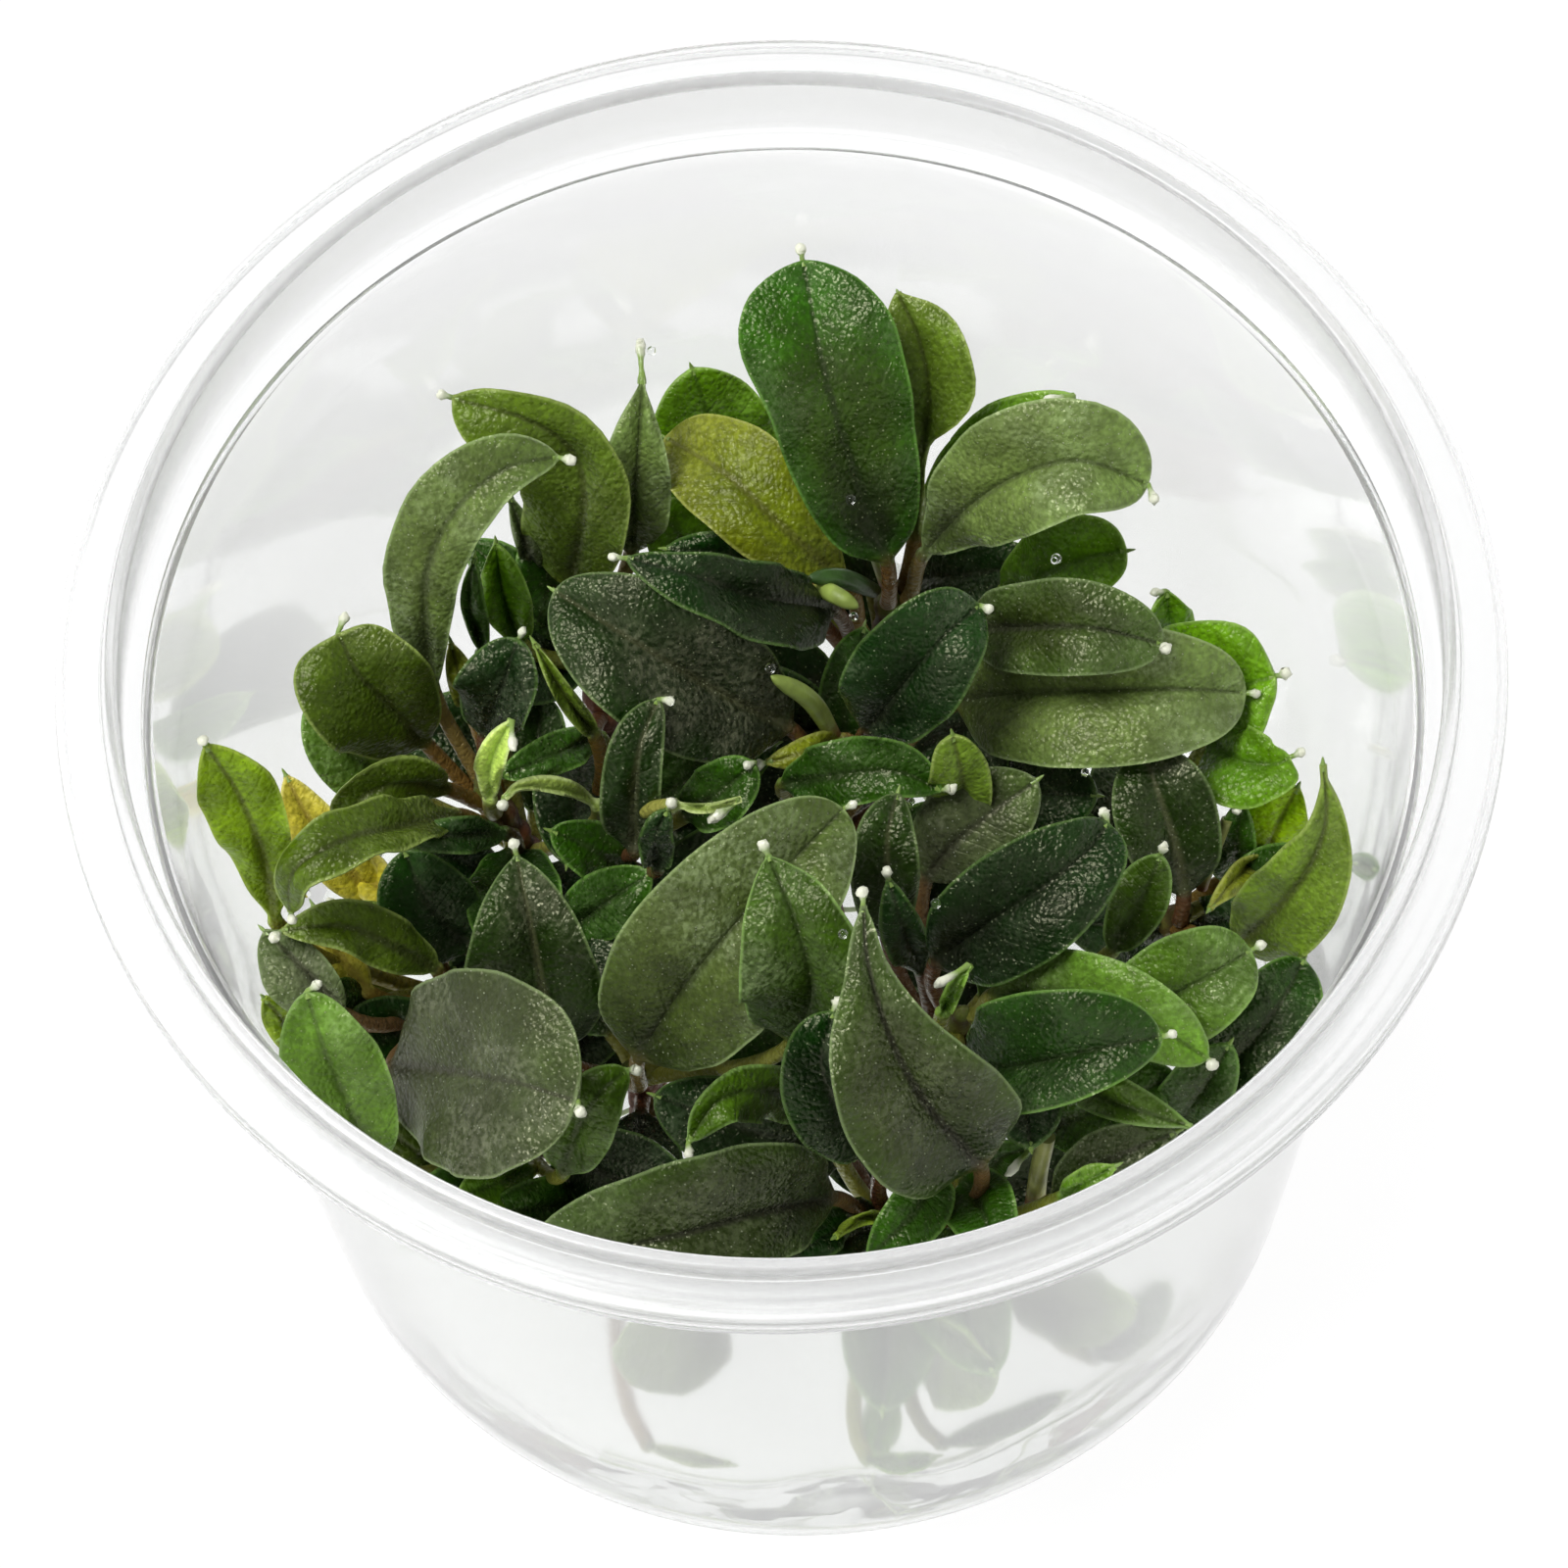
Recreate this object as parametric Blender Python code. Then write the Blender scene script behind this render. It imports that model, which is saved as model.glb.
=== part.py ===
import bmesh
import bpy
import numpy as np
from mathutils.bvhtree import BVHTree

# Bucephalandra plantlets growing in the clear round cup that they were raised in.
# Everything is in millimetres here and is turned to metres as each mesh is made.
# The origin is the centre of the cup's base, and +Y is the back of the cup.
mm = 0.001

# Cup, one clear moulding
cupHeight = 77.0
flangeRadius = 52.5
flangeDrop = 0.8
skirtDepth = 1.9
skirtThick = 0.7
beadInner = 47.75
beadOuter = 49.05
mouthRadius = 46.05
mouthHeight = 69.85
baseRadius = 40.7
baseFillet = 2.6
wallThick = 0.75
floorThick = 0.9
cupSides = 44

# Clear growing gel, set flat on the floor of the cup
gelTop = 13.0
gap = 0.3
gelSides = 44

# Rhizomes, standing on the gel
stemRadius = 1.35
stemSides = 6
stemStations = 5
topSeat = 1.0
seatStep = 2.0

# Leaves
petioleRadius = 0.62
leafHalfThick = 0.3
leafEdge = 0.35
petioleStations = 4
bladeStations = 8
crossSection = ((1, 0), (0.45, 1), (-0.45, 1), (-1, 0), (-0.45, -1), (0.45, -1))

# Low leaves, which grow in the rooms that the upper ones leave and belong to their rhizome's node.
# At each level the headings and the lengths are tried in turn, and the first with room grows.
lowLevels = (27.0, 24.2, 21.4, 18.6, 15.8)
lowLengths = (14.0, 11.5, 9.0)
lowHalfShare = 0.28
lowRise = (5.5, 4.5, 3.5, 2.5, 1.5)
lowPetiole = (3.6, 2.6)
lowHeadings = 24
lowTurn = 137.5
lowSink = 0.5
lowRoom = 0.45

# Leaf positions were read along the sight lines of one view, which looks down on the cup.
# A reading is a point of that view, in its 1600 x 1600 picture, and a height in millimetres.
viewElevation = 63.2
viewRoll = 3.3
viewDistance = 470.0
viewReach = 6370.0
viewCentre = 800.0
viewAim = (-0.24, 0.0, 54.2)

# crown: where the top of each rhizome is seen, and its height
# foot: how far its foot is from the point straight under its top
stems = {
    "back": {"crown": (908, 596, 34), "foot": (-1, -3)},
    "centre": {"crown": (858, 752, 34), "foot": (-2, -5)},
    "back_left": {"crown": (590, 640, 31), "foot": (2, -6)},
    "left": {"crown": (487, 790, 33), "foot": (4, -3)},
    "mid_left": {"crown": (600, 832, 29), "foot": (2, -4)},
    "far_left": {"crown": (430, 1010, 27), "foot": (5, 2)},
    "centre_left": {"crown": (640, 1100, 31), "foot": (1, 5)},
    "front_left": {"crown": (528, 1178, 26), "foot": (3, 6)},
    "front": {"crown": (930, 1228, 29), "foot": (-1, 2)},
    "front_right": {"crown": (985, 1030, 35), "foot": (-2, 2)},
    "right": {"crown": (1215, 925, 29), "foot": (-5, 1)},
}

# path: readings along the midrib from the blade's base to its tip
# half: widths of the blade left and right of the midrib; roll and cup are in degrees
# widest: how far along the blade is widest
# ends: shape of the base and of the tip, 0.4 for square, 1 for pointed and 2 for drawn out
leaves = {
    "tall_back": {
        "stem": "back", "tone": "deep", "half": (6.5, 6.0),
        "roll": 0, "cup": 12, "widest": 0.62, "ends": (0.62, 0.42),
        "path": [(905, 572, 41), (872, 480, 48), (843, 380, 55), (822, 266, 59)]},
    "folded_back": {
        "stem": "back", "tone": "olive", "half": (3.4, 4.6),
        "roll": -12, "cup": 18, "widest": 0.74, "ends": (0.85, 0.36),
        "path": [(934, 546, 38), (942, 470, 44), (950, 395, 49), (934, 330, 53)]},
    "golden_back": {
        "stem": "back", "tone": "golden", "half": (4.3, 4.6),
        "roll": 6, "cup": 10, "widest": 0.6, "ends": (0.7, 0.5),
        "path": [(862, 592, 38), (805, 545, 42), (742, 485, 44), (680, 447, 42)]},
    "bright_back": {
        "stem": "back", "tone": "bright", "half": (5.8, 4.8),
        "roll": 0, "cup": 12, "widest": 0.6, "ends": (0.5, 0.5),
        "path": [(782, 540, 30), (736, 455, 38), (706, 376, 45)]},
    "broad_back": {
        "stem": "back", "tone": "grey", "half": (5.2, 5.0),
        "roll": -4, "cup": 14, "widest": 0.62, "ends": (0.95, 0.42),
        "path": [(942, 566, 40), (990, 516, 47), (1045, 486, 52), (1100, 480, 54), (1168, 503, 52)]},
    "bright_side": {
        "stem": "back", "tone": "bright", "half": (2.0, 2.8),
        "roll": 0, "cup": 16, "widest": 0.5, "ends": (0.65, 0.65),
        "path": [(945, 535, 33), (990, 470, 40), (1050, 414, 46)]},
    "rolled_edge": {
        "stem": "back", "tone": "deep", "half": (4.2, 2.8),
        "roll": 14, "cup": 16, "widest": 0.4, "ends": (0.6, 0.6),
        "path": [(850, 622, 38), (785, 612, 46), (712, 590, 51), (640, 570, 52)]},
    "round_side": {
        "stem": "back", "tone": "green", "half": (3.2, 3.6),
        "roll": 0, "cup": 12, "widest": 0.6, "ends": (0.6, 0.5),
        "path": [(1024, 602, 34), (1062, 588, 38), (1105, 568, 41), (1142, 552, 42)]},
    "pointed_back": {
        "stem": "back_left", "tone": "grey", "half": (4.1, 3.2),
        "roll": 8, "cup": 26, "widest": 0.44, "ends": (0.5, 1.15),
        "path": [(645, 560, 35), (647, 505, 42), (652, 445, 47), (655, 385, 50)]},
    "olive_arch": {
        "stem": "back_left", "tone": "olive", "half": (5.0, 3.0),
        "roll": -10, "cup": 10, "widest": 0.45, "ends": (0.48, 0.55),
        "path": [(582, 596, 34), (596, 525, 43), (588, 468, 48), (545, 430, 52), (462, 406, 53)]},
    "tall_left": {
        "stem": "left", "tone": "grey", "half": (3.8, 3.0),
        "roll": -8, "cup": 14, "widest": 0.62, "ends": (0.7, 0.6),
        "path": [(442, 704, 38), (434, 630, 45), (440, 568, 50), (472, 512, 54), (521, 476, 56),
                 (569, 467, 55)]},
    "square_left": {
        "stem": "left", "tone": "deep", "half": (5.9, 4.8),
        "roll": 0, "cup": 14, "widest": 0.68, "ends": (0.6, 0.28),
        "path": [(434, 758, 35), (400, 720, 41), (370, 688, 45), (351, 644, 47)]},
    "yellow_edge": {
        "stem": "left", "tone": "green", "half": (3.4, 2.8),
        "roll": 0, "cup": 10, "widest": 0.5, "ends": (0.6, 0.6),
        "path": [(428, 815, 28), (388, 788, 34), (345, 760, 37), (312, 722, 39)]},
    "draped_left": {
        "stem": "left", "tone": "grey", "half": (2.5, 2.7),
        "roll": 30, "cup": 10, "widest": 0.62, "ends": (0.55, 0.55),
        "path": [(465, 832, 38), (410, 842, 46), (350, 860, 50), (303, 888, 50), (297, 930, 46)]},
    "folded_left": {
        "stem": "left", "tone": "deep", "half": (3.5, 3.3),
        "roll": -10, "cup": 16, "widest": 0.5, "ends": (0.5, 0.45),
        "path": [(495, 748, 36), (510, 705, 41), (530, 652, 44)]},
    "far_left": {
        "stem": "far_left", "tone": "speckled", "half": (3.0, 3.4),
        "roll": 0, "cup": 10, "widest": 0.66, "ends": (0.75, 0.75),
        "path": [(281, 940, 41), (269, 880, 47), (246, 815, 54), (215, 763, 60)]},
    "dying": {
        "stem": "far_left", "tone": "yellow", "half": (2.4, 2.3),
        "roll": 0, "cup": 12, "widest": 0.5, "ends": (0.6, 0.6),
        "path": [(390, 925, 29), (350, 880, 33), (315, 835, 36), (292, 792, 38)]},
    "wavy_left": {
        "stem": "far_left", "tone": "deep", "half": (2.2, 2.4),
        "roll": 10, "cup": 10, "widest": 0.5, "ends": (0.6, 0.6),
        "path": [(445, 988, 34), (400, 965, 39), (350, 945, 42), (288, 950, 42)]},
    "broad_front_left": {
        "stem": "far_left", "tone": "grey", "half": (8.1, 7.8),
        "roll": 0, "cup": 8, "widest": 0.6, "ends": (0.5, 0.4),
        "path": [(402, 1088, 37), (456, 1092, 43), (526, 1104, 48), (590, 1124, 50)]},
    "front_left": {
        "stem": "front_left", "tone": "green", "half": (4.0, 4.1),
        "roll": 0, "cup": 14, "widest": 0.58, "ends": (0.55, 0.55),
        "path": [(386, 1190, 36), (359, 1135, 41), (331, 1070, 46), (313, 1012, 49)]},
    "low_front_left": {
        "stem": "front_left", "tone": "green", "half": (2.7, 2.9),
        "roll": 0, "cup": 14, "widest": 0.45, "ends": (0.55, 0.55),
        "path": [(575, 1196, 34), (588, 1155, 38), (612, 1115, 41), (640, 1092, 41)]},
    "left_centre": {
        "stem": "centre_left", "tone": "grey", "half": (6.2, 4.8),
        "roll": 0, "cup": 14, "widest": 0.38, "ends": (0.5, 0.75),
        "path": [(568, 1072, 36), (554, 1010, 41), (541, 940, 46), (527, 873, 48)]},
    "great_centre": {
        "stem": "centre_left", "tone": "deep", "half": (6.7, 6.9),
        "roll": 0, "cup": 10, "widest": 0.42, "ends": (0.45, 0.5),
        "path": [(652, 1078, 37), (692, 1015, 43), (742, 952, 48), (802, 885, 51), (860, 826, 51)]},
    "bright_centre": {
        "stem": "centre_left", "tone": "bright", "half": (4.8, 4.2),
        "roll": 0, "cup": 10, "widest": 0.5, "ends": (0.4, 0.75),
        "path": [(812, 1062, 43.5), (828, 1010, 49.5), (812, 942, 55), (784, 874, 56)]},
    "arch_front": {
        "stem": "front", "tone": "green", "half": (2.6, 2.1),
        "roll": 0, "cup": 14, "widest": 0.45, "ends": (0.6, 0.6),
        "path": [(822, 1132, 37), (785, 1112, 43), (735, 1122, 47), (703, 1164, 45)]},
    "spoon": {
        "stem": "mid_left", "tone": "deep", "half": (2.8, 2.2),
        "roll": -6, "cup": 16, "widest": 0.5, "ends": (0.5, 0.5),
        "path": [(648, 868, 37), (647, 820, 42), (654, 762, 46), (671, 714, 47)]},
    "great_dark": {
        "stem": "centre", "tone": "deep", "half": (6.3, 5.6),
        "roll": 0, "cup": 10, "widest": 0.52, "ends": (0.5, 0.5),
        "path": [(805, 742, 37), (730, 704, 43), (650, 656, 48), (566, 603, 49)]},
    "dark_centre": {
        "stem": "centre", "tone": "deep", "half": (4.9, 4.4),
        "roll": 4, "cup": 12, "widest": 0.52, "ends": (0.5, 0.5),
        "path": [(885, 745, 41), (922, 698, 47), (962, 650, 51), (999, 618, 51)]},
    "right_upper": {
        "stem": "centre", "tone": "green", "half": (3.8, 4.0),
        "roll": 0, "cup": 12, "widest": 0.58, "ends": (0.45, 0.45),
        "path": [(988, 642, 42), (1040, 640, 46), (1110, 640, 49), (1186, 657, 48)]},
    "right_great": {
        "stem": "centre", "tone": "green", "half": (5.2, 6.2),
        "roll": 0, "cup": 10, "widest": 0.55, "ends": (0.45, 0.45),
        "path": [(978, 716, 35), (1040, 708, 40), (1120, 704, 43), (1200, 703, 43), (1270, 707, 41)]},
    "green_arch": {
        "stem": "centre", "tone": "deep", "half": (2.4, 2.2),
        "roll": 0, "cup": 12, "widest": 0.5, "ends": (0.55, 0.55),
        "path": [(800, 800, 36), (850, 792, 40), (910, 786, 42), (960, 806, 41)]},
    "right_curled": {
        "stem": "right", "tone": "bright", "half": (5.2, 3.4),
        "roll": 0, "cup": 14, "widest": 0.55, "ends": (0.5, 0.5),
        "path": [(1202, 742, 33), (1238, 718, 37), (1274, 698, 40), (1302, 690, 41)]},
    "right_small": {
        "stem": "right", "tone": "green", "half": (2.9, 3.3),
        "roll": 0, "cup": 16, "widest": 0.5, "ends": (0.55, 0.55),
        "path": [(1236, 758, 36), (1265, 776, 38), (1300, 780, 39), (1316, 773, 39)]},
    "right_bright": {
        "stem": "right", "tone": "bright", "half": (3.3, 3.9),
        "roll": 0, "cup": 14, "widest": 0.38, "ends": (0.5, 1.2),
        "path": [(1264, 964, 34), (1301, 929, 40), (1332, 888, 45), (1352, 838, 49), (1346, 780, 53)]},
    "right_dark": {
        "stem": "right", "tone": "deep", "half": (4.2, 4.1),
        "roll": 0, "cup": 14, "widest": 0.6, "ends": (0.5, 0.5),
        "path": [(1208, 910, 32), (1200, 865, 36), (1183, 812, 39), (1165, 765, 40)]},
    "dark_right": {
        "stem": "front_right", "tone": "deep", "half": (4.6, 5.0),
        "roll": 0, "cup": 12, "widest": 0.5, "ends": (0.5, 0.5),
        "path": [(955, 982, 40), (1008, 942, 45), (1066, 903, 48), (1110, 868, 49), (1130, 840, 49)]},
    "small_right": {
        "stem": "front_right", "tone": "green", "half": (2.4, 2.1),
        "roll": 0, "cup": 12, "widest": 0.55, "ends": (0.5, 0.5),
        "path": [(1135, 970, 36), (1162, 925, 39), (1184, 872, 42)]},
    "upright_centre": {
        "stem": "front_right", "tone": "deep", "half": (2.9, 2.6),
        "roll": 0, "cup": 12, "widest": 0.55, "ends": (0.5, 0.5),
        "path": [(905, 955, 35), (905, 900, 41), (906, 850, 44), (916, 810, 45)]},
    "front_right": {
        "stem": "front_right", "tone": "green", "half": (5.6, 3.6),
        "roll": 0, "cup": 12, "widest": 0.5, "ends": (0.5, 0.5),
        "path": [(990, 1094, 41), (1050, 1086, 47), (1120, 1070, 50), (1185, 1058, 50)]},
    "green_right": {
        "stem": "front_right", "tone": "green", "half": (3.6, 3.6),
        "roll": 0, "cup": 10, "widest": 0.5, "ends": (0.5, 0.5),
        "path": [(1015, 1015, 39), (1080, 1010, 43), (1160, 1036, 45), (1232, 1080, 43)]},
    "outer_right": {
        "stem": "front_right", "tone": "green", "half": (4.5, 4.4),
        "roll": 0, "cup": 12, "widest": 0.55, "ends": (0.45, 0.45),
        "path": [(1142, 1045, 38), (1190, 1020, 42), (1238, 992, 44), (1276, 970, 44)]},
    "edge_right": {
        "stem": "front_right", "tone": "deep", "half": (3.8, 3.3),
        "roll": 0, "cup": 12, "widest": 0.5, "ends": (0.5, 0.5),
        "path": [(1220, 1130, 32), (1268, 1075, 36), (1308, 1020, 38), (1330, 980, 38)]},
    "front_centre": {
        "stem": "front", "tone": "grey", "half": (6.2, 6.1),
        "roll": 0, "cup": 12, "widest": 0.36, "ends": (0.45, 1.8),
        "path": [(1000, 1188, 43), (946, 1128, 50), (908, 1058, 55), (886, 985, 58), (881, 924, 60)]},
    "front_great": {
        "stem": "front", "tone": "deep", "half": (4.4, 6.0),
        "roll": -8, "cup": 10, "widest": 0.5, "ends": (0.5, 0.5),
        "path": [(848, 1222, 36), (785, 1234, 42), (700, 1258, 45), (610, 1275, 45), (545, 1285, 43)]},
    "dark_front": {
        "stem": "front", "tone": "deep", "half": (3.8, 3.4),
        "roll": 0, "cup": 12, "widest": 0.5, "ends": (0.5, 0.5),
        "path": [(892, 1174, 39), (854, 1130, 45), (838, 1080, 49), (850, 1032, 51)]},
    "low_front": {
        "stem": "front", "tone": "green", "half": (2.5, 2.3),
        "roll": 0, "cup": 12, "widest": 0.5, "ends": (0.6, 0.6),
        "path": [(948, 1195, 36), (938, 1232, 39), (885, 1285, 40)]},
    "low_right": {
        "stem": "front", "tone": "olive", "half": (2.6, 2.2),
        "roll": 0, "cup": 12, "widest": 0.5, "ends": (0.6, 0.6),
        "path": [(1075, 1225, 34), (1130, 1185, 38), (1200, 1155, 40)]},
}

# colour, roughness
tones = {
    "deep": ((0.020, 0.048, 0.016), 0.38),
    "grey": ((0.040, 0.070, 0.036), 0.35),
    "green": ((0.040, 0.110, 0.022), 0.38),
    "bright": ((0.085, 0.200, 0.020), 0.4),
    "olive": ((0.080, 0.100, 0.022), 0.42),
    "golden": ((0.200, 0.220, 0.030), 0.45),
    "speckled": ((0.110, 0.180, 0.020), 0.45),
    "yellow": ((0.560, 0.420, 0.030), 0.5),
    "rhizome": ((0.090, 0.030, 0.012), 0.5),
}


# Vectors and curves

def unit(vector):
    return vector / np.linalg.norm(vector)


elevation = np.radians(viewElevation)
tilt = np.radians(viewRoll)
sightDown = np.array([0, np.cos(elevation), -np.sin(elevation)])
levelRight = np.array([1.0, 0, 0])
levelUp = np.array([0, np.sin(elevation), np.cos(elevation)])
sightRight = levelRight * np.cos(tilt) - levelUp * np.sin(tilt)
sightUp = levelUp * np.cos(tilt) + levelRight * np.sin(tilt)
viewPoint = np.array(viewAim) - viewDistance * sightDown
easedSteps = (1 - np.cos(np.linspace(0, np.pi, bladeStations))) / 2


def placeOf(reading):
    """The point in the cup that a reading stands for"""
    across, down, height = reading
    aside = sightRight * (across - viewCentre) / viewReach
    above = sightUp * (viewCentre - down) / viewReach
    ray = sightDown + aside + above
    return viewPoint + ray * (height - viewPoint[2]) / ray[2]


def smoothLine(points, steps):
    """Stations along a smooth curve through the points, at these shares of its length"""
    before = 2 * points[0] - points[1]
    after = 2 * points[-1] - points[-2]
    knots = [before, *points, after]
    fine = []
    for back, start, stop, ahead in zip(knots, knots[1:], knots[2:], knots[3:]):
        for step in np.linspace(0, 1, 12, endpoint=False):
            fine.append(0.5 * (
                2 * start
                + (stop - back) * step
                + (2 * back - 5 * start + 4 * stop - ahead) * step ** 2
                + (3 * start - back - 3 * stop + ahead) * step ** 3))
    fine = np.array(fine + [knots[-2]])
    runs = np.concatenate([[0], np.cumsum(np.linalg.norm(np.diff(fine, axis=0), axis=1))])
    stations = runs[-1] * steps
    return np.stack([np.interp(stations, runs, fine[:, axis]) for axis in range(3)], axis=-1)


def bezier(start, startPull, endPull, end, steps):
    """Stations along a curve that leaves and arrives towards its two pull points"""
    step = np.array(steps)[:, None]
    left = 1 - step
    leaving = left ** 3 * start + 3 * left ** 2 * step * startPull
    arriving = 3 * left * step ** 2 * endPull + step ** 3 * end
    return leaving + arriving


# Objects

def newObject(name, verts, faces, material):
    mesh = bpy.data.meshes.new(name)
    mesh.from_pydata([tuple(np.array(vert) * mm) for vert in verts], [], faces)
    work = bmesh.new()
    work.from_mesh(mesh)
    bmesh.ops.recalc_face_normals(work, faces=work.faces)
    bmesh.ops.triangulate(work, faces=work.faces)
    work.to_mesh(mesh)
    work.free()
    mesh.shade_smooth()
    mesh.set_sharp_from_angle(angle=np.radians(50))
    mesh.materials.append(material)
    part = bpy.data.objects.new(name, mesh)
    bpy.context.scene.collection.objects.link(part)
    return part


def plainMaterial(name, colour, roughness):
    material = bpy.data.materials.new(name)
    material.use_nodes = True
    shader = material.node_tree.nodes["Principled BSDF"]
    shader.inputs["Base Color"].default_value = (*colour, 1)
    shader.inputs["Roughness"].default_value = roughness
    return material


def clearMaterial(name, colour, roughness, bending):
    material = plainMaterial(name, colour, roughness)
    shader = material.node_tree.nodes["Principled BSDF"]
    shader.inputs["Transmission Weight"].default_value = 1
    shader.inputs["IOR"].default_value = bending
    return material


def turned(name, profile, sides, material):
    """A solid turned from a profile of (radius, height) that starts and ends on the axis"""
    verts = [(0, 0, profile[0][1])]
    faces = []
    inner = profile[1:-1]
    for radius, height in inner:
        for side in range(sides):
            angle = 2 * np.pi * side / sides
            verts.append((radius * np.cos(angle), radius * np.sin(angle), height))
    verts.append((0, 0, profile[-1][1]))
    last = len(verts) - 1
    for side in range(sides):
        after = (side + 1) % sides
        faces.append((0, 1 + after, 1 + side))
        for ring in range(len(inner) - 1):
            low = 1 + ring * sides
            high = low + sides
            faces.append((low + side, low + after, high + after, high + side))
        top = 1 + (len(inner) - 1) * sides
        faces.append((top + side, top + after, last))
    return newObject(name, verts, faces, material)


def lofted(name, rings, material):
    """A solid through rings of the same number of points, closed at both ends"""
    size = len(rings[0])
    verts = [point for ring in rings for point in ring]
    faces = [tuple(range(size)), tuple(range(len(verts) - size, len(verts)))]
    for ring in range(len(rings) - 1):
        for side in range(size):
            after = (side + 1) % size
            low = ring * size
            faces.append((low + side, low + after, low + size + after, low + size + side))
    return newObject(name, verts, faces, material)


# Cup and gel

def outerRadius(height):
    """The outside of the cup's wall, which widens evenly from its base to its mouth"""
    return baseRadius + (mouthRadius + wallThick - baseRadius) * height / mouthHeight


def makeCup():
    flangeTop = cupHeight - flangeDrop
    skirtFoot = flangeTop - skirtDepth
    shoulder = mouthHeight - wallThick
    lean = baseFillet * 0.3
    profile = [
        (0, 0),
        (baseRadius - baseFillet, 0),
        (baseRadius - lean, lean),
        (outerRadius(baseFillet), baseFillet),
        (outerRadius(shoulder), shoulder),
        (beadOuter - 0.1, shoulder),
        (beadOuter + 0.1, flangeTop - skirtThick),
        (flangeRadius - skirtThick, flangeTop - skirtThick - 0.1),
        (flangeRadius - skirtThick, skirtFoot),
        (flangeRadius, skirtFoot),
        (flangeRadius, flangeTop - 0.2),
        (flangeRadius - 0.3, flangeTop),
        (beadOuter, flangeTop),
        (beadOuter, cupHeight - 0.3),
        (beadOuter - 0.3, cupHeight),
        (beadInner + 0.3, cupHeight),
        (beadInner, cupHeight - 0.3),
        (beadInner + 0.45, mouthHeight),
        (mouthRadius, mouthHeight),
        (outerRadius(baseFillet) - wallThick, baseFillet + 0.2),
        (baseRadius - wallThick - lean, floorThick + lean),
        (baseRadius - baseFillet - wallThick, floorThick),
        (0, floorThick),
    ]
    material = clearMaterial("clear_plastic", (0.95, 0.96, 0.96), 0.08, 1.46)
    return turned("cup", profile, cupSides, material)


def makeGel():
    foot = floorThick + gap
    lift = baseFillet + gap
    clear = wallThick + gap + 0.1
    profile = [
        (0, foot),
        (baseRadius - baseFillet - clear, foot),
        (outerRadius(lift) - clear - 0.2, lift + 0.6),
        (outerRadius(gelTop) - clear, gelTop),
        (0, gelTop),
    ]
    material = clearMaterial("growing_gel", (0.96, 0.98, 0.95), 0.05, 1.34)
    return turned("gel", profile, gelSides, material)


# Rhizomes

def stemLine(name, count):
    top = placeOf(stems[name]["crown"])
    aside, along = stems[name]["foot"]
    foot = np.array([top[0] + aside, top[1] + along, gelTop + gap])
    rise = (top[2] - foot[2]) * 0.45
    return bezier(foot, foot + [0, 0, rise], foot + [0, 0, rise], top, np.linspace(0, 1, count))


def makeStem(name, material):
    rings = []
    for station, centre in enumerate(stemLine(name, stemStations)):
        radius = stemRadius * (1 - 0.25 * station / (stemStations - 1))
        ring = []
        for side in range(stemSides):
            angle = 2 * np.pi * side / stemSides
            ring.append(centre + radius * np.array([np.cos(angle), np.sin(angle), 0]))
        rings.append(ring)
    return lofted("rhizome_" + name, rings, material)


# Leaves

def steepness(name):
    """How steeply a petiole climbs, because the steepest ones grow highest on their rhizome"""
    top = placeOf(stems[leaves[name]["stem"]]["crown"])
    base = placeOf(leaves[name]["path"][0])
    return (base[2] - top[2] + seatStep) / np.linalg.norm(base[:2] - top[:2])


def leafLine(name):
    """The stations of a leaf: its petiole, out of the rhizome's side, then its blade"""
    leaf = leaves[name]
    sharing = [other for other in leaves if leaves[other]["stem"] == leaf["stem"]]
    sharing.sort(key=steepness, reverse=True)
    curve = stemLine(leaf["stem"], 9)
    height = curve[-1][2] - topSeat - seatStep * sharing.index(name)
    seat = np.array([np.interp(height, curve[:, 2], curve[:, axis]) for axis in range(3)])
    blade = smoothLine([placeOf(reading) for reading in leaf["path"]], easedSteps)
    out = unit((blade[0] - seat) * [1, 1, 0])
    start = seat + out * (stemRadius + gap + petioleRadius)
    reach = np.linalg.norm(blade[0] - start) * 0.35
    startPull = start + (out * 0.6 + [0, 0, 0.8]) * reach
    endPull = blade[0] - unit(unit(blade[1] - blade[0]) + unit(blade[0] - start)) * reach
    steps = np.linspace(0, 1, petioleStations, endpoint=False)
    return np.concatenate([bezier(start, startPull, endPull, blade[0], steps), blade])


def leafFrames(line):
    """At each station the way the leaf faces, and its left"""
    runs = np.gradient(line, axis=0)
    runs /= np.linalg.norm(runs, axis=1)[:, None]
    facing = np.zeros_like(line)
    for station in range(petioleStations, len(line)):
        run = runs[station]
        facing[station] = -sightDown + sightDown.dot(run) * run
        if station > petioleStations:
            kept = facing[station - 1] - facing[station - 1].dot(run) * run
            facing[station] += 0.25 * unit(kept)
        facing[station] = unit(facing[station])
    for station in range(petioleStations - 1, -1, -1):
        run = runs[station]
        facing[station] = unit(facing[station + 1] - facing[station + 1].dot(run) * run)
    return facing, np.cross(facing, runs)


def bladeWidth(along, widest, ends):
    """A blade's width at a share of its length, as a share of its greatest width"""
    if along < widest:
        return np.sin(np.pi / 2 * along / widest) ** ends[0]
    return abs(np.cos(np.pi / 2 * (along - widest) / (1 - widest))) ** ends[1]


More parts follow.
